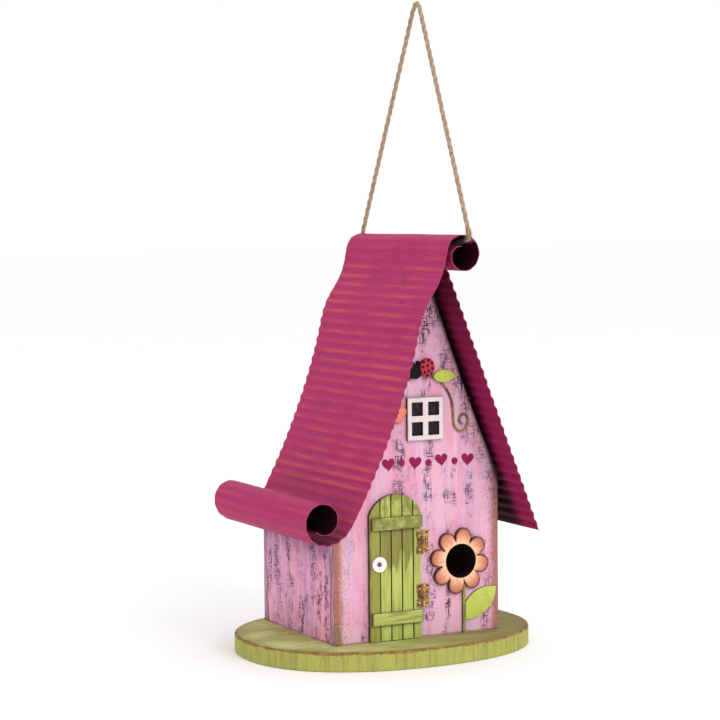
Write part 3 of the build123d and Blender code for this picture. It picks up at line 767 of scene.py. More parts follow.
def batten_shade(place, parts, colour):
    """Brown rubbed into the battens' ends and edges, and a darker glaze on the left of the upper one."""
    x, y, z = parts
    ends = lower(x - upper_batten_low.x, upper_batten_high.x - x)
    colour = mix(use(worn, Vector=place, Distance=ends, Width=0.0016) * 0.6, colour, brown_shade)
    smear = use(streaks, Vector=place, Stretch=(40, 200, 420), From=0.48, To=0.64)
    colour = mix(smear * 0.5, colour, srgb(108, 98, 48))
    glaze = ramp(z, 0.06, 0.08) * ramp(cloud(place, (120, 120, 160), 3.0), 0.36, 0.6)
    return mix(glaze * 0.75, colour, srgb(112, 106, 54))


plank_paint = green_wood("green_plank_paint", lime, mid_lime, olive, (520, 300, 22), 1, door_shade)
batten_paint = green_wood("green_batten_paint", srgb(188, 194, 112), srgb(168, 176, 94), olive,
                          (24, 300, 520), 1, batten_shade)

# %% Base board finish: streaks run upright on the rim and along the boards on top
_, base_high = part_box("base_board")


def base_shade(place, parts, colour):
    x, y, z = parts
    on_top = ramp(facing(place)[2], 0.8, 0.97)
    along_top = use(streaks, Vector=place, Stretch=(18, 260, 40), From=0.44, To=0.66)
    top = mix(ramp(cloud(place, (26, 50, 20), 3.0), 0.34, 0.62), srgb(206, 210, 142), srgb(172, 178, 104))
    top = mix(along_top * 0.35, top, srgb(132, 118, 64))
    to_right = ramp(x, -0.02, 0.07)
    top = mix(to_right * 0.7, top, srgb(112, 96, 38))
    colour = mix(on_top, colour, top)
    oval = (abs(x) / base_high.x) ** 2.25 + (abs(y) / base_high.y) ** 2.25
    inward = (1.0 - oval) * 0.045
    below_top = base_high.z - z
    to_rim = higher(inward, below_top)
    soft_rim = ramp(inward, 0.012, 0.001)
    colour = mix(soft_rim * on_top * 0.35, colour, srgb(118, 92, 52))
    wear = use(worn, Vector=place, Distance=to_rim, Width=0.0019)
    bared = mix(ramp(cloud(place, (160, 160, 160), 3.0), 0.35, 0.62), srgb(160, 108, 66), srgb(112, 74, 44))
    colour = mix(wear * 0.85, colour, bared)
    halo = use(spatter, Vector=place, Stretch=(800, 800, 700), Amount=ramp(to_rim, 0.012, 0.001) * 0.4)
    colour = mix(halo * 0.55, colour, srgb(96, 80, 44))
    joint = ramp(cloud(place, (28, 28, 3), 1.0, 0.4), 0.52, 0.5)
    return mix(joint * ramp(below_top, 0.0005, 0.002) * 0.1, colour, olive)


base_paint = green_wood("green_base_paint", srgb(176, 176, 93), srgb(160, 160, 80), srgb(126, 122, 58),
                        (300, 300, 24), None, base_shade, 0.28)
stem_paint = green_wood("stem_paint", srgb(160, 164, 84), srgb(130, 126, 66), srgb(84, 72, 44),
                        (300, 300, 70), 1, None, 0.5)
leaf_paint = green_wood("lime_leaf_paint", srgb(192, 198, 94), srgb(180, 188, 84), srgb(162, 170, 70),
                        (160, 160, 120), 1, None, 0.10)
print("green paints ready")

# %% [markdown]
# ## Petals
# Both flowers are cut from one board each. Their paint follows the petals: peach in the middle, a
# reddish-brown rim round each lobe, thin red strokes that fan out from the middle, and dark maroon cut
# faces. A node group folds the plane into a single petal, by taking the angle within one petal's share of
# the circle. After that, the distance to the petal's middle line is all that the rim needs.

# %% Shared effect: fold a flower into one petal
fold, given, result = new_group("petal fold", {"Vector": (0, 0, 0), "Centre": (0, 0, 0), "Phase": 0.0,
                                               "Count": 8.0, "Reach": 0.02},
                                ("To Middle Line", "Radius", "Angle"))
flat = put("VectorMath", {0: given["Vector"], 1: given["Centre"]}, operation="SUBTRACT")
px, _, pz = parts_of(flat)
radius = calc("SQRT", px * px + pz * pz)
angle = calc("ARCTAN2", pz, px) - given["Phase"]
share = 2 * pi / given["Count"]
within = angle - share * calc("ROUND", angle / share)
forward = radius * calc("COSINE", within)
sideways = radius * calc("SINE", within)
beyond = higher(forward - given["Reach"], 0.0)
to_line = calc("SQRT", beyond * beyond + sideways * sideways)
for value, socket in zip((to_line, radius, angle), result):
    wire(value, socket)
print("group", fold.name)


# %% Petal finish
def petal_paint(name, node, phase, count, reach, lobe, inner, light, mid, rim_colour):
    """inner: radius of the pale middle. The flower's centre is the middle of its node's box."""
    material, place, _, shader = begin(name)
    low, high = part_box(node)
    centre = (low + high) / 2
    to_line, radius, angle = every_output(use(fold, Vector=place, Centre=centre, Phase=phase, Count=count,
                                              Reach=reach))
    edge = to_line + (cloud(place, (300, 300, 300), 3.0) - 0.5) * (0.35 * lobe)
    colour = mix(ramp(radius, inner * 0.98, inner * 1.65), light, mid)
    polar = put("CombineXYZ", {0: angle * 14.0, 1: radius * 90.0})
    strokes = ramp(put("TexNoise", {"Vector": polar, "Scale": 1.0, "Detail": 3.0}, "Fac"), 0.53, 0.66)
    colour = mix(strokes * 0.5, colour, srgb(176, 80, 64))
    tip = ramp(radius, reach * 0.95, reach + lobe)
    colour = mix(tip * 0.45, colour, rim_colour)
    colour = mix(ramp(edge, lobe * 0.7, lobe * 0.98) * 0.95, colour, rim_colour)
    cut = ramp(abs(facing(place)[1]), 0.8, 0.45)
    colour = mix(cut * 0.94, colour, srgb(64, 24, 28))
    # painted shade: the cut face round the entrance near-black, as the hole is dark inside
    black = ramp(from_axis(place, hole_middle), hole_radius + 0.5 * MM, hole_radius + 0.2 * MM)
    colour = mix(black, colour, srgb(18, 9, 11))
    height = cloud(place, (260, 260, 260), 3.0) - strokes * 0.5
    finish_material(shader, colour, 0.58, height, 0.15, 0.5, Specular_IOR_Level=0.35)
    return material


big_petal_paint = petal_paint("peach_petal_paint", "flower_petals", radians(80), 8, 19.5 * MM, 7.0 * MM,
                              13.4 * MM, srgb(248, 198, 158), srgb(214, 138, 108), srgb(84, 32, 32))
small_petal_paint = petal_paint("orange_petal_paint", "small_flower", 0.0, 6, 6.0 * MM, 3.9 * MM, 2.6 * MM,
                                srgb(236, 160, 120), srgb(230, 134, 108), srgb(206, 92, 78))
print("petal paints ready")

# %% [markdown]
# ## Small finishes
# Cream paint for the window, black for its panes, olive-gold for the wire, red and black for the ladybird,
# antique brass, a white knob on a brown pin, grey screws and jute.

# %% Window, panes and black paint
window_low, window_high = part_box("window_frame")


def simple_paint(name, light, dark, stretch, roughness, bump_mm=0.1, amount=(0.40, 0.66), **fixed):
    """Two close colours blended by a cloud, with a fine bump."""
    material, place, _, shader = begin(name)
    colour = mix(ramp(cloud(place, stretch, 4.0, 0.6), *amount), light, dark)
    height = cloud(place, tuple(s * 3 for s in stretch), 3.0)
    finish_material(shader, colour, roughness, height, bump_mm, 0.5, **fixed)
    return material


cream_paint, place, (x, y, z), shader = begin("cream_window_paint")
colour = mix(cloud(place, (120, 120, 120), 4.0), srgb(224, 212, 209), srgb(208, 195, 196))
to_side = lower(lower(x - window_low.x, window_high.x - x), lower(z - window_low.z, window_high.z - z))
colour = mix(use(worn, Vector=place, Distance=to_side, Width=0.0007) * 0.55, colour, srgb(178, 132, 120))
specks = use(spatter, Vector=place, Stretch=(1100, 1100, 1100), Amount=0.05)
colour = mix(specks * 0.5, colour, srgb(150, 120, 120))
# painted shade: the frame's narrow cut faces near-black, round the panes too
cut = ramp(abs(facing(place)[1]), 0.75, 0.45)
colour = mix(cut * 0.92, colour, srgb(62, 46, 58))
finish_material(shader, colour, 0.55, cloud(place, (500, 500, 160), 3.0), 0.12, Specular_IOR_Level=0.35)

pane_paint, place, _, shader = begin("black_pane_paint")
weave = use(dry_brush, Vector=place, Warp_Stretch=(1500, 1500, 260), Weft_Stretch=(260, 260, 1500), Band=1.0)
colour = mix(weave * 0.26, srgb(32, 23, 32), srgb(96, 74, 90))
finish_material(shader, colour, 0.6, weave, 0.08, Specular_IOR_Level=0.14)

black_paint = simple_paint("ladybird_black_paint", srgb(18, 12, 20), srgb(32, 24, 34), (300, 300, 300), 0.6,
                           Specular_IOR_Level=0.1)
white_glaze = simple_paint("knob_white_glaze", srgb(250, 244, 246), srgb(232, 222, 230), (160, 160, 160),
                           0.28, 0.04, Coat_Weight=0.3)
knob_pin_paint = simple_paint("knob_pin_wood_finish", srgb(108, 82, 60), srgb(66, 46, 36), (400, 400, 900),
                              0.6)
zinc = simple_paint("zinc_plate", srgb(176, 176, 172), srgb(140, 140, 138), (500, 500, 500), 0.38, 0.05,
                    Metallic=0.9)
painted_over = simple_paint("painted_over_steel", srgb(220, 160, 184), srgb(170, 116, 130), (400, 400, 400),
                            0.6)
small_black = simple_paint("flower_button_paint", srgb(52, 34, 36), srgb(84, 56, 50), (400, 400, 400), 0.5)
marks_paint = simple_paint("magenta_mark_paint", srgb(146, 28, 76), srgb(128, 34, 78), (220, 220, 160), 0.7,
                           Specular_IOR_Level=0.1)

# %% Wire and antique brass
wire_paint, place, _, shader = begin("olive_gold_wire")
colour = mix(ramp(cloud(place, (260, 260, 260), 4.0), 0.4, 0.62), srgb(150, 126, 78), srgb(86, 70, 44))
height = cloud(place, (900, 900, 900), 2.0)
finish_material(shader, colour, 0.42, height, 0.05, Metallic=0.35, Specular_IOR_Level=0.5)

brass, place, _, shader = begin("antique_brass")
tarnish = ramp(cloud(place, (420, 420, 420), 4.0, 0.65), 0.46, 0.66)
colour = mix(tarnish, srgb(206, 168, 96), srgb(112, 80, 44))
roughness = put("MapRange", {"Value": tarnish, "To Min": 0.34, "To Max": 0.62})
finish_material(shader, colour, roughness, tarnish, 0.08, 0.7, Metallic=0.6)
worn_brass = simple_paint("worn_brass", srgb(168, 124, 76), srgb(84, 56, 36), (420, 420, 420), 0.5,
                          Metallic=0.5)
dark_brass = simple_paint("dark_brass_ground", srgb(84, 58, 34), srgb(46, 30, 22), (500, 500, 500), 0.6,
                          Metallic=0.4)
print("small finishes ready")

# %% Ladybird: red with black spots, each spot a distance from its own place
beetle_low, beetle_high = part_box("ladybird_body")
beetle_middle = (beetle_low + beetle_high) / 2
ladybird_paint, place, _, shader = begin("ladybird_red_paint")
spots = [(-3.6, 4.4), (0.3, 5.6), (3.6, 3.6), (-4.4, 0.6), (-0.4, 1.6), (3.9, -0.8), (-2.9, -3.6),
         (0.6, -2.6), (-0.6, -6.0), (3.2, -4.8)]
ink = 0.0
for side, rise in spots:
    centre = (beetle_middle.x + side * MM, 0, beetle_middle.z + rise * MM)
    spot = ramp(from_axis(place, centre), 1.4 * MM, 1.1 * MM)
    ink = higher(ink, spot)
colour = mix(cloud(place, (250, 250, 250), 3.0), srgb(200, 56, 72), srgb(166, 38, 56))
cut = ramp(abs(facing(place)[1]), 0.35, 0.12)
colour = mix(cut * 0.7, colour, srgb(80, 18, 28))
colour = mix(ink, colour, srgb(24, 14, 20))
finish_material(shader, colour, 0.5, cloud(place, (700, 700, 700), 2.0), 0.05, Specular_IOR_Level=0.15)

# %% Jute: fine fibres that run along each strand, by the strands' own UV map
jute, place, (_, y, z), shader = begin("jute_strands")
unrolled = put("UVMap", {}, tree=place.tree, uv_map="unrolled")
lean = put("Mapping", {"Vector": unrolled, "Rotation": (0, 0, radians(14))})
fibres = cloud(lean, (5200, 320, 1), 4.0, 0.65)
tone = cloud(unrolled, (500, 130, 1), 3.0)
colour = mix(ramp(fibres, 0.38, 0.62), srgb(104, 74, 54), srgb(206, 180, 152))
colour = mix(ramp(tone, 0.45, 0.66) * 0.55, colour, srgb(150, 112, 84))
# painted shade: the rope near-black where it runs inside the ridge's roll
rope_roll_shade = ramp(z, 0.3325, 0.33) * ramp(y, -0.0935, -0.09)
rope_roll_shade = rope_roll_shade * ramp(y, 0.08, 0.077)
colour = mix(rope_roll_shade * 0.93, colour, srgb(34, 18, 18))
finish_material(shader, colour, 0.85, fibres, 0.25, 0.8, Specular_IOR_Level=0.15, Sheen_Weight=0.25)
fuzz = simple_paint("jute_fibre", srgb(216, 194, 168), srgb(170, 138, 108), (400, 400, 400), 0.85)
dark_fuzz = simple_paint("jute_frayed_end", srgb(176, 140, 110), srgb(108, 76, 56), (900, 900, 900), 0.85)
print("jute and ladybird ready")

# %% [markdown]
# ## Helpers for modelling
# Each new piece is started from a primitive, or from a merged copy of a solid node where that shape is
# already right and only needs softened edges. It is then shaped in edit mode. An operator acts on
# everything selected, so each step selects only what it needs. A finished piece keeps its place in its
# mesh, with its object at the origin, rides on a body and stands for its solid nodes.

# %% Selecting and settling
def only(piece):
    """Selects one piece and makes it active."""
    bpy.ops.object.select_all(action="DESELECT")
    piece.select_set(True)
    bpy.context.view_layer.objects.active = piece


def settle(piece):
    """Puts a piece's place, turn and size into its mesh."""
    only(piece)
    bpy.ops.object.transform_apply(location=True, rotation=True, scale=True)


@contextmanager
def editing(piece):
    """Edit mode on one piece, for the lines of a with block."""
    only(piece)
    bpy.ops.object.mode_set(mode="EDIT")
    yield
    bpy.ops.object.mode_set(mode="OBJECT")


def primitive(add, name, **settings):
    """A new primitive with nothing else selected, settled in its mesh."""
    bpy.ops.object.select_all(action="DESELECT")
    add(**settings)
    piece = bpy.context.active_object
    piece.name = name
    settle(piece)
    return piece


def choose(piece, kind, wanted):
    """In edit mode, selects only the faces, edges or vertices that pass a test."""
    bpy.ops.mesh.select_mode(type=kind)
    bpy.ops.mesh.select_all(action="DESELECT")
    mesh = bmesh.from_edit_mesh(piece.data)
    for part in {"FACE": mesh.faces, "EDGE": mesh.edges, "VERT": mesh.verts}[kind]:
        if wanted(part):
            part.select_set(True)
    mesh.select_flush_mode()
    bmesh.update_edit_mesh(piece.data)


def modify(piece, kind, **settings):
    """Adds a modifier, sets it and applies it."""
    only(piece)
    modifier = piece.modifiers.new(kind.lower(), kind)
    for name, value in settings.items():
        setattr(modifier, name, value)
    bpy.ops.object.modifier_apply(modifier=modifier.name)


def soften(piece, width_mm, segments=2, angle=32):
    """Rounds a piece's sharp edges and smooths its shading."""
    modify(piece, "BEVEL", width=width_mm * MM, segments=segments, limit_method="ANGLE",
           angle_limit=radians(angle), harden_normals=False, use_clamp_overlap=True)
    smooth(piece)


def smooth(piece, angle=38):
    only(piece)
    bpy.ops.object.shade_smooth_by_angle(angle=radians(angle))


def dress(piece, body, slot, paint, *nodes):
    """Gives a piece its material, and says what it rides on and stands for. Its slot argument is not used."""
    if paint:
        piece.data.materials.clear()
        piece.data.materials.append(paint)
    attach(piece, body)
    if nodes:
        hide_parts(*nodes)
    print(f"{piece.name}: {len(piece.data.polygons)} faces")


def copy_of(node, name):
    """A copy of a solid node's mesh with its doubles merged and its flat triangles made faces."""
    piece = new_object(name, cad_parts[node].data.copy())
    with editing(piece):
        bpy.ops.mesh.select_mode(type="VERT")
        bpy.ops.mesh.select_all(action="SELECT")
        bpy.ops.mesh.remove_doubles(threshold=1e-6)
        bpy.ops.mesh.dissolve_limited(angle_limit=radians(0.6))
    return piece


def block(name, low, high):
    """A cube primitive stretched between two corners."""
    low, high = Vector(low), Vector(high)
    return primitive(bpy.ops.mesh.primitive_cube_add, name, size=1, location=(low + high) / 2,
                     scale=high - low)


# %% [markdown]
# ## The roof sheets
# The roof is corrugated steel: the waves run level, from front to back, and the sheet's ends are rolled into
# scrolls. A grid primitive is the flat sheet, with enough cuts to hold three points on each side of a wave.
# Every vertex is then carried to its place: its x says how far up the sheet it is, and the profile's spline
# gives the point and the direction there. The wave is added along the normal and fades out where the sheet is
# rolled. Solidify gives it the thickness of steel, with its own materials for the underside and the cut edge.

# %% A smooth curve through points
def natural_curve(points):
    """A function from a distance along a smooth curve to a point and a direction, and the length."""
    known = np.array(points, float)
    knots = np.concatenate([[0], np.cumsum(np.linalg.norm(np.diff(known, axis=0), axis=1))])
    gaps = np.diff(knots)
    count = len(knots)
    matrix, rise = np.eye(count), np.zeros((count, 2))
    for k in range(1, count - 1):
        matrix[k, k - 1:k + 2] = gaps[k - 1], 2 * (gaps[k - 1] + gaps[k]), gaps[k]
        rise[k] = 6 * ((known[k + 1] - known[k]) / gaps[k] - (known[k] - known[k - 1]) / gaps[k - 1])
    bend = np.linalg.solve(matrix, rise)

    def at_knot(t):
        k = min(max(int(np.searchsorted(knots, t)) - 1, 0), count - 2)
        h, low, high = gaps[k], knots[k + 1] - t, t - knots[k]
        return (bend[k] * low ** 3 + bend[k + 1] * high ** 3) / (6 * h) \
            + (known[k] / h - bend[k] * h / 6) * low + (known[k + 1] / h - bend[k + 1] * h / 6) * high

    fine = np.linspace(0, knots[-1], 4000)
    path = np.array([at_knot(t) for t in fine])
    run = np.concatenate([[0], np.cumsum(np.linalg.norm(np.diff(path, axis=0), axis=1))])
    slope = np.gradient(path, run, axis=0)

    def follow(distance):
        point = [np.interp(distance, run, path[:, k]) for k in (0, 1)]
        way = np.array([np.interp(distance, run, slope[:, k]) for k in (0, 1)])
        return point, way / np.linalg.norm(way)

    return follow, run[-1]


# %% The two roof profiles, in millimetres, as x and z
def scroll(centre, start, step, radii):
    turns = [radians(start + k * step) for k in range(len(radii))]
    return [(centre[0] + r * cos(a), centre[1] + r * sin(a)) for r, a in zip(radii, turns)]


left_slope = [(-70.6, 118.5), (-52.6, 153.3), (-38.3, 185.5), (-26.8, 216.1), (-17.1, 248.8), (-8.6, 276.3),
              (2.0, 293.5), (7.4, 306.5)]
ridge_scroll = scroll((23.9, 316.5), 180.0, -44.0,
                      [14.3, 14.2, 14.1, 14.2, 14.4, 14.1, 13.4, 12.0, 9.9, 7.6, 5.7])
eave_scroll = scroll((-98.0, 118.0), -28.0, -46.2,
                     [22.6, 18.8, 16.6, 14.8, 14.0, 13.7, 13.2, 12.4, 11.4, 10.3, 9.5])
left_profile, left_length = natural_curve(eave_scroll[::-1] + left_slope + ridge_scroll)
right_profile, right_length = natural_curve([(94.9, 96.8), (53.9, 201.05), (12.9, 305.3)])
print(f"left sheet {left_length:.0f} mm from roll to roll, right sheet {right_length:.0f} mm")

# %% Corrugate and roll a grid
steel = 0.5


def fade(value, low, high):
    share = min(max((value - low) / (high - low), 0.0), 1.0)
    return share * share * (3 - 2 * share)


def roof_sheet(name, profile, length, y_low, y_high, wave_at, paints):
    """A rolled corrugated sheet. wave_at(s) is its wave; paints are for outside, inside and cut edge."""
    up_cuts = round(length / 0.82)
    depth_cuts = round((y_high - y_low) / 4.0)
    bpy.ops.object.select_all(action="DESELECT")
    bpy.ops.mesh.primitive_grid_add(x_subdivisions=up_cuts, y_subdivisions=depth_cuts, size=1)
    piece = bpy.context.active_object
    piece.name = name
    unrolled = piece.data.uv_layers[0]
    unrolled.name = "unrolled"
    for loop, spot in zip(piece.data.loops, unrolled.data):
        flat = piece.data.vertices[loop.vertex_index].co
        spot.uv = ((flat.x + 0.5) * length * MM, (flat.y + 0.5) * (y_high - y_low) * MM)
    for vertex in piece.data.vertices:
        s = (vertex.co.x + 0.5) * length
        y = y_low + (vertex.co.y + 0.5) * (y_high - y_low)
        (x, z), (way_x, way_z) = profile(s)
        drift = 0.25 * noise.noise(Vector((s / 22, y / 45, 3.0)))
        lift = wave_at(s) * sin(2 * pi * s * MM / wave_pitch) + drift
        vertex.co = at(x - way_z * lift, y, z + way_x * lift)
    for paint in paints:
        piece.data.materials.append(paint)
    modify(piece, "SOLIDIFY", thickness=steel * MM, offset=0.0, use_even_offset=True, material_offset=1,
           material_offset_rim=2)
    smooth(piece, 60)
    return piece


left_front_y, left_back_y = (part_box("left_roof_sheet")[k].y / MM for k in (0, 1))
right_front_y, right_back_y = (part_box("right_roof_sheet")[k].y / MM for k in (0, 1))
eave_roll = 108.0                               # how much of the sheet is in the eave's roll
ridge_roll = left_length - 118.0                # where the ridge's roll begins


def left_wave(s):
    """Full on the slope, low in the rolls and just above the eave, and plain on the roll's inner lip."""
    slope = fade(s, eave_roll + 28, eave_roll + 46) * (1 - fade(s, ridge_roll - 36, ridge_roll - 4))
    lip = fade(s, 80, 92) * (1 - fade(s, eave_roll - 2, eave_roll + 14))
    return 0.10 + 0.40 * slope + 0.36 * lip


left_roof = roof_sheet("left_corrugated_sheet", left_profile, left_length, left_front_y, left_back_y,
                       left_wave, (left_top_paint, left_under_paint, cut_edge_paint))
right_roof = roof_sheet("right_corrugated_sheet", right_profile, right_length, right_front_y, right_back_y,
                        lambda s: 0.2 + 0.35 * fade(s, 0, 8),
                        (right_under_paint, right_top_paint, cut_edge_paint))
dress(left_roof, "house", "magenta_roof", None, "left_roof_sheet")
dress(right_roof, "house", "magenta_roof", None, "right_roof_sheet")

# %% Roof nails, softened copies of the solid ones
roof_nails = copy_of("roof_nails", "roof_nail_heads")
soften(roof_nails, 0.2)
dress(roof_nails, "house", "magenta_roof_nails", nail_paint, "roof_nails")

# %% [markdown]
# ## Boards, cut-outs and battens
# The saw and the sanding block left every wooden edge slightly round. Those pieces are copies of the solid
# nodes, because their outlines are right already, with a bevel that is wider on the thick boards.

# %% Softened wooden pieces
wooden = [("front_wall", "front_board", 0.7, "house", "pink_front_wood", front_paint),
          ("back_wall", "back_board", 0.7, "house", "pink_front_wood", back_paint),
          ("left_wall", "left_board", 0.6, "house", "pink_side_wood", left_paint),
          ("right_wall", "right_board", 0.6, "house", "pink_side_wood", right_paint),
          ("flower_petals", "flower_cut_out", 0.75, "house", "peach_flower_wood", big_petal_paint),
          ("flower_stem", "flower_stem_strip", 0.4, "house", "leaf_green_wood", stem_paint),
          ("flower_leaf", "flower_leaf_cut_out", 0.5, "house", "leaf_green_wood", leaf_paint),
          ("vine_leaf", "vine_leaf_cut_out", 0.45, "house", "leaf_green_wood", leaf_paint),
          ("small_flower", "small_flower_cut_out", 0.6, "house", "peach_flower_wood", small_petal_paint),
          ("ladybird_head", "ladybird_head_cut_out", 0.5, "house", "ladybird_black", black_paint),
          ("ladybird_body", "ladybird_body_cut_out", 0.5, "house", "ladybird_red", ladybird_paint)]
for node, name, width, body, slot, paint in wooden:
    piece = copy_of(node, name)
    soften(piece, width, 3)
    dress(piece, body, slot, paint, node)


# %% Planks and battens, each a little uneven, as hand-cut strips are
noise.seed_set(1)     # otherwise noise_vector is placed by the clock, and every run is a little different


def uneven(piece, size_mm, reach_mm, seed):
    """Moves a piece's vertices in and out by a smooth noise, so that its faces aren't quite flat."""
    for vertex in piece.data.vertices:
        shift = noise.noise_vector(vertex.co / (reach_mm * MM) + Vector((seed, 0, 0))) * size_mm * MM
        vertex.co += Vector((shift.x, shift.y * 0.5, shift.z * 0.6))


for number in range(1, 6):
    plank = copy_of(f"door_plank_{number}", f"door_board_{number}")
    with editing(plank):
        for cut in range(1, 14):
            bpy.ops.mesh.select_all(action="SELECT")
            height = door_low.z + cut * (door_high.z - door_low.z) / 14
            bpy.ops.mesh.bisect(plane_co=(0, 0, height), plane_no=(0, 0, 1))
    uneven(plank, 0.12, 14, number)
    soften(plank, 0.35, 2)
    dress(plank, "door", "green_door_wood", plank_paint, f"door_plank_{number}")

for node, name in (("door_upper_batten", "upper_batten_strip"), ("door_lower_batten", "lower_batten_strip")):
    low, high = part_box(node)
    batten = block(name, low, high)
    with editing(batten):
        for cut in range(1, 10):
            bpy.ops.mesh.select_all(action="SELECT")
            bpy.ops.mesh.bisect(plane_co=(low.x + cut * (high.x - low.x) / 10, 0, 0), plane_no=(1, 0, 0))
    uneven(batten, 0.22, 11, low.z * 100)
    soften(batten, 0.4, 3)
    dress(batten, "door", "green_door_wood", batten_paint, node)

# %% [markdown]
# ## Door knob
# A white wooden button with a dished middle, held by a brown peg. The button starts as a short cylinder
# with its axis turned to the front. Its rims are bevelled round, and its front face is inset and pushed in
# for the dish.

# %% Knob and peg
knob_low, knob_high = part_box("door_knob")
knob_middle = (knob_low + knob_high) / 2
knob_radius = (knob_high.x - knob_low.x) / 2
knob_depth = knob_high.y - knob_low.y


def turned(name, radius, middle, depth, sides=48):
    """A cylinder primitive whose axis runs from front to back."""
    return primitive(bpy.ops.mesh.primitive_cylinder_add, name, vertices=sides, radius=radius, depth=depth,
                     location=middle, rotation=(radians(90), 0, 0))


knob = turned("white_knob", knob_radius, knob_middle, knob_depth)
with editing(knob):
    choose(knob, "FACE", lambda face: face.normal.y < -0.9)
    bpy.ops.mesh.inset(thickness=knob_radius * 0.42, depth=0)
    bpy.ops.mesh.inset(thickness=knob_radius * 0.16, depth=-knob_depth * 0.42)
    bpy.ops.mesh.inset(thickness=knob_radius * 0.10, depth=0)
soften(knob, 0.7, 4, 40)
dress(knob, "door", "knob_white", white_glaze, "door_knob")

pin_low, pin_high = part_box("door_knob_pin")
peg_depth = knob_high.y - 0.4 * MM - pin_low.y
peg = turned("knob_peg", 1.9 * MM, Vector((knob_middle.x, pin_low.y + peg_depth / 2, knob_middle.z)),
             peg_depth, 28)
with editing(peg):
    choose(peg, "FACE", lambda face: face.normal.y < -0.9)
    bpy.ops.mesh.inset(thickness=0.7 * MM, depth=0.35 * MM)
    bpy.ops.mesh.inset(thickness=0.5 * MM, depth=0.1 * MM)
smooth(peg, 60)
dress(peg, "door", "knob_pin_wood", knob_pin_paint, "door_knob_pin")

# %% [markdown]
# ## Hinges
# The hinges are small stamped butterfly hinges with pierced scrollwork. A flat plate with a drawn pattern
# would show no holes, so each leaf is built from its parts: a border strip, rings, a middle star and small
# pearls, all turned from flattened toruses and discs, over a dark ground that shows through the holes. One
# leaf is made as a recipe for any side, and each hinge gets its own copy on the body that it moves with.

# %% One pierced leaf
def flat_ring(middle, radius, wire, squash=0.55):
    """A torus that faces the front, flattened from front to back."""
    bpy.ops.object.select_all(action="DESELECT")
    bpy.ops.mesh.primitive_torus_add(major_radius=radius * MM, minor_radius=wire * MM, major_segments=22,
                                     minor_segments=8, location=middle, rotation=(radians(90), 0, 0))
    ring = bpy.context.active_object
    ring.scale = (1, 1, squash)
    settle(ring)
    return ring


def boss(middle, radius, depth, sides=16):
    """A small domed stud that stands off to the front."""
    stud = turned("stud", radius * MM, middle, depth * MM, sides)
    with editing(stud):
        choose(stud, "FACE", lambda face: face.normal.y < -0.9)
        bpy.ops.mesh.inset(thickness=radius * MM * 0.45, depth=radius * MM * 0.22)
    return stud


def pierced_leaf(name, side, axis_x, front_y, middle_z, half_height, reach):
    """A scrollwork leaf. side is -1 or 1, and reach is its width from the hinge's axis."""
    inner, outer = 1.5, reach
    middle_x = axis_x + side * (inner + outer) / 2 * MM
    half_width = (outer - inner) / 2
    depth_y = front_y + 0.3 * MM
    made = []
    for low_x, high_x, low_z, high_z in ((inner, inner + 0.7, -half_height, half_height),
                                         (inner, outer - 1.6, half_height - 0.6, half_height),
                                         (inner, outer - 1.6, -half_height, -half_height + 0.6)):
        ends = sorted((axis_x + side * low_x * MM, axis_x + side * high_x * MM))
        made.append(block("bar", (ends[0], front_y, middle_z + low_z * MM),
                          (ends[1], front_y + 0.6 * MM, middle_z + high_z * MM)))
    for rise in (-1, 1):
        corner = middle_z + rise * (half_height - 2.5) * MM
        made.append(flat_ring((middle_x + side * 0.25 * MM, depth_y, corner), half_width * 0.78, 0.58))
        made.append(flat_ring((middle_x - side * 0.7 * MM, depth_y, middle_z + rise * 3.55 * MM), 0.85, 0.40))
        for beyond, above in ((0.35, 3.7), (0.3, half_height - 0.6), (1.5, 3.2)):
            made.append(boss((axis_x + side * (outer - beyond) * MM, depth_y, middle_z + rise * above * MM),
                             0.55, 0.6))
    for k in range(8):
        turn = 2 * pi * k / 8
        made.append(boss((middle_x + 1.75 * MM * cos(turn), depth_y, middle_z + 1.75 * MM * sin(turn)), 0.48,
                         0.6, 10))
    made.append(boss((middle_x, depth_y, middle_z), 0.85, 0.8))
    leaf = join(made, name)
    settle(leaf)
    return leaf


def knuckles(axis, spans, radius):
    """Short barrels on the hinge's axis."""
    return [primitive(bpy.ops.mesh.primitive_cylinder_add, "barrel", vertices=20, radius=radius,
                      depth=high - low, location=(*axis, (low + high) / 2)) for low, high in spans]


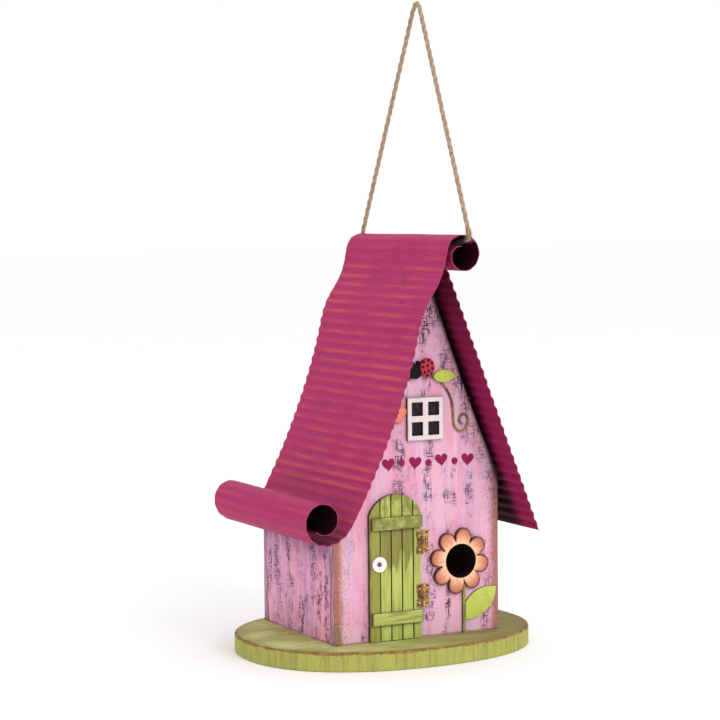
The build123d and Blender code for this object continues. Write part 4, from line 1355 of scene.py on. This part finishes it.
# %% Four leaves on two pins
for where in ("upper", "lower"):
    pin_low, pin_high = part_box(f"{where}_hinge_pin")
    axis = ((pin_low.x + pin_high.x) / 2, (pin_low.y + pin_high.y) / 2)
    middle_z = (pin_low.z + pin_high.z) / 2
    half_height = (pin_high.z - pin_low.z) / 2
    third = 2 * half_height / 3
    gap = 0.125 * MM
    spans = {"wall": [(middle_z - half_height, middle_z - third / 2 - gap),
                      (middle_z + third / 2 + gap, middle_z + half_height)],
             "door": [(middle_z - third / 2 + gap, middle_z + third / 2 - gap)]}
    for part, side, body in (("wall", 1, "house"), ("door", -1, "door")):
        node = f"{where}_hinge_{part}_leaf"
        leaf_low, leaf_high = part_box(node)
        reach = (leaf_high.x - axis[0] if side > 0 else axis[0] - leaf_low.x) / MM
        plate_front = (wall_low.y if side > 0 else door_low.y) - 0.6 * MM
        leaf = pierced_leaf(f"{where}_{part}_scrollwork", side, axis[0], plate_front, middle_z,
                            half_height / MM, reach)
        barrels = knuckles(axis, spans[part], 1.2 * MM)
        webs = []
        for low, high in spans[part]:
            if part == "wall":
                left = axis[0] - 0.3 * MM
                webs.append(block("web", (left, axis[1], low), (axis[0] + 0.3 * MM, wall_low.y, high)))
                webs.append(block("strap", (left, plate_front, low), (axis[0] + 1.9 * MM, wall_low.y, high)))
            else:
                left = axis[0] - 1.9 * MM
                webs.append(block("strap", (left, plate_front, low), (axis[0], plate_front + 0.6 * MM, high)))
        whole = join([leaf] + barrels + webs, f"{where}_{part}_scrollwork")
        soften(whole, 0.12, 2, 40)
        dress(whole, body, "hinge_brass", brass if part == "wall" else worn_brass, node)
        ends = sorted((axis[0] + side * 1.6 * MM, axis[0] + side * (reach - 0.9) * MM))
        ground = block(f"{where}_{part}_ground", (ends[0], plate_front + 0.40 * MM,
                                                  middle_z - half_height + 0.4 * MM),
                       (ends[1], plate_front + 0.58 * MM, middle_z + half_height - 0.4 * MM))
        dress(ground, body, "hinge_brass", dark_brass)

for node, name, body in (("hinge_wall_nails", "hinge_wall_nail_heads", "house"),
                         ("hinge_door_nails", "hinge_door_nail_heads", "door"),
                         ("upper_hinge_pin", "upper_pin", "house"),
                         ("lower_hinge_pin", "lower_pin", "house")):
    piece = copy_of(node, name)
    soften(piece, 0.15, 2)
    dress(piece, body, "hinge_brass", brass, node)

# %% [markdown]
# ## Window
# The window is a small cream frame of four panes over a black board. A grid of five by five faces has its
# cuts moved to the edges of the borders and bars, the four pane faces are deleted, and what is left is
# extruded to the frame's thickness.

# %% Frame
window_size = window_high - window_low
border, bar = 3.9 * MM, 4.8 * MM
bpy.ops.object.select_all(action="DESELECT")
bpy.ops.mesh.primitive_grid_add(x_subdivisions=5, y_subdivisions=5, size=1, rotation=(radians(90), 0, 0))
window = bpy.context.active_object
window.name = "cream_window_frame"
settle(window)
cuts = {}
for axis_index in (0, 2):
    half = window_size[axis_index] / 2
    cuts[axis_index] = [-half, -half + border, -bar / 2, bar / 2, half - border, half]
window_middle = (window_low + window_high) / 2
for vertex in window.data.vertices:
    column, row = round((vertex.co.x + 0.5) * 5), round((vertex.co.z + 0.5) * 5)
    vertex.co = (window_middle.x + cuts[0][column], window_high.y, window_middle.z + cuts[2][row])


def is_pane(face):
    away = face.calc_center_median() - window_middle
    return all(bar / 2 < abs(away[k]) < window_size[k] / 2 - border for k in (0, 2))


with editing(window):
    choose(window, "FACE", is_pane)
    bpy.ops.mesh.delete(type="FACE")
    bpy.ops.mesh.select_all(action="SELECT")
    bpy.ops.mesh.extrude_region_move(TRANSFORM_OT_translate={"value": (0, -window_size.y, 0)})
    bpy.ops.mesh.select_all(action="SELECT")
    bpy.ops.mesh.normals_make_consistent(inside=False)
soften(window, 0.35, 3)
uneven(window, 0.10, 9, 4)
dress(window, "house", "white_wood", cream_paint, "window_frame")

# %% [markdown]
# ## Vine wire
# A stiff wire is bent into a tendril that curls at its end. It is drawn as a smooth curve through the bends
# of the solid wire with a round bevel, and made a mesh, because a finished piece keeps its place in its
# mesh.

# %% Wire
vine_points = [(-16.0, 202.4), (-13.0, 211.6), (-4.5, 218.4), (7.0, 221.5), (18.5, 219.5), (28.5, 212.0),
               (34.6, 201.0), (35.9, 189.0), (36.3, 179.5), (41.2, 174.4), (47.6, 177.2), (49.8, 184.0),
               (46.4, 189.8), (41.4, 187.6), (41.1, 182.2), (44.4, 180.9)]
wire_low, wire_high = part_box("vine_wire")
wire_y = (wire_low.y + wire_high.y) / 2 / MM
wire_line, _ = smooth_line([Vector((x, wire_y, z)) for x, z in vine_points], 0.8)


wire_frames = frames_of(wire_line, lambda point: Vector((0, -1, 0)))
tendril = tube_mesh("vine_tendril", wire_line, wire_frames, 0.95 * MM, 12)
soften(tendril, 0.3, 2, 60)
dress(tendril, "house", "vine_metal", wire_paint, "vine_wire")

# %% [markdown]
# ## Painted marks
# A row of small painted marks crosses the front under the window: hearts with dots between them, brushed on
# thickly in the roof's magenta. Each is a circle primitive whose rim is moved to a heart's outline or left
# round, and then extruded by the thickness of the paint.

# %% Hearts and dots
def painted_mark(name, middle_x, middle_z, size_mm, tilt, heart):
    bpy.ops.object.select_all(action="DESELECT")
    bpy.ops.mesh.primitive_circle_add(vertices=40, radius=1, fill_type="NGON", rotation=(radians(90), 0, 0))
    mark = bpy.context.active_object
    mark.name = name
    settle(mark)
    for vertex in mark.data.vertices:
        turn = atan2(vertex.co.x, vertex.co.z)
        if heart:
            flat = (16 * sin(turn) ** 3 / 17,
                    (13 * cos(turn) - 5 * cos(2 * turn) - 2 * cos(3 * turn) - cos(4 * turn) + 2.5) / 17)
        else:
            flat = (sin(turn), cos(turn))
        wobble = 1 + 0.05 * noise.noise(Vector((middle_x + vertex.co.x * 2, vertex.co.z * 2, 1)))
        x, z = (c * size_mm / 2 * wobble for c in flat)
        vertex.co = at(middle_x + x * cos(tilt) - z * sin(tilt), 0, middle_z + x * sin(tilt) + z * cos(tilt))
        vertex.co.y = wall_low.y
    with editing(mark):
        bpy.ops.mesh.select_all(action="SELECT")
        bpy.ops.mesh.extrude_region_move(TRANSFORM_OT_translate={"value": (0, -0.22 * MM, 0)})
        bpy.ops.mesh.select_all(action="SELECT")
        bpy.ops.mesh.normals_make_consistent(inside=False)
    return mark


row_left, row_right, row_z = -22.0, 49.0, 152.5
mark_parts = []
for k in range(7):
    heart = k % 2 == 0
    x = row_left + k * (row_right - row_left) / 6
    mark_parts.append(painted_mark(f"mark_{k}", x, row_z + (0.7 if k in (1, 4) else -0.4),
                                   12.0 if heart else 5.5, radians((4, 0, -6, 0, 5, 0, -4)[k]), heart))
marks = join(mark_parts, "painted_marks")
soften(marks, 0.12, 2)
dress(marks, "house", "magenta_roof", marks_paint)

# %% [markdown]
# ## Rope, knot and what stays as it is
# The rope's strands ride on the house. The knot inside the ridge's roll is two turns of the same rope, seen
# only from the ends of the roll.

# %% Rope
dress(free_rope, "house", "jute_rope", jute, "hanger_rope")
inner_rope = join([front_inner_rope, back_inner_rope], "jute_rope_ends")
dress(inner_rope, "house", "jute_rope", jute, "rope_in_scroll")
dress(rope_fibres, "house", "jute_rope", fuzz)
dress(mouth_fibres, "house", "jute_rope", dark_fuzz)

knot_low, knot_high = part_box("rope_knot")
knot_middle = (knot_low + knot_high) / 2 / MM
knot_turns = []
for k in range(34):
    turn = 2 * pi * k / 11
    knot_turns.append(Vector((knot_middle.x + 2.2 * cos(turn), knot_middle.y - 4.0 + 8.0 * k / 33,
                              knot_middle.z + 2.2 * sin(turn))))
knot_line, _ = smooth_line(knot_turns, 0.8)

knot_frames = frames_of(knot_line, lambda p: Vector((p.x - knot_middle.x * MM, 0, p.z - knot_middle.z * MM)))
knot = tube_mesh("jute_knot", knot_line, knot_frames, 1.35 * MM, 12)
smooth(knot, 60)
dress(knot, "house", "jute_rope", jute, "rope_knot")

# %% Solid nodes whose shape is right, given their finishes
kept_finishes = {"base_board": base_paint, "base_screws": zinc, "wall_brads": painted_over,
                 "window_panel": pane_paint, "small_flower_centre": small_black}
for node, paint in kept_finishes.items():
    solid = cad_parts[node]
    solid.data.materials.clear()
    solid.data.materials.append(paint)
print("kept as they are:", sorted(kept_finishes))

# %% [markdown]
# ## Floor finish and closing
# The paper floor gets a pale matt finish, so that only a soft shadow shows under the base.

# %% Floor finish
paper, place, _, shader = begin("pale_paper")
colour = mix(cloud(place, (3, 3, 3), 2.0), (0.985, 0.985, 0.985, 1), (0.995, 0.995, 0.995, 1))
finish_material(shader, colour, 0.95, cloud(place, (300, 300, 300), 2.0), 0.01, 0.1, Specular_IOR_Level=0.0)
floor.data.materials.append(paper)

# %% Closing: nothing left selected
bpy.ops.object.select_all(action="DESELECT")
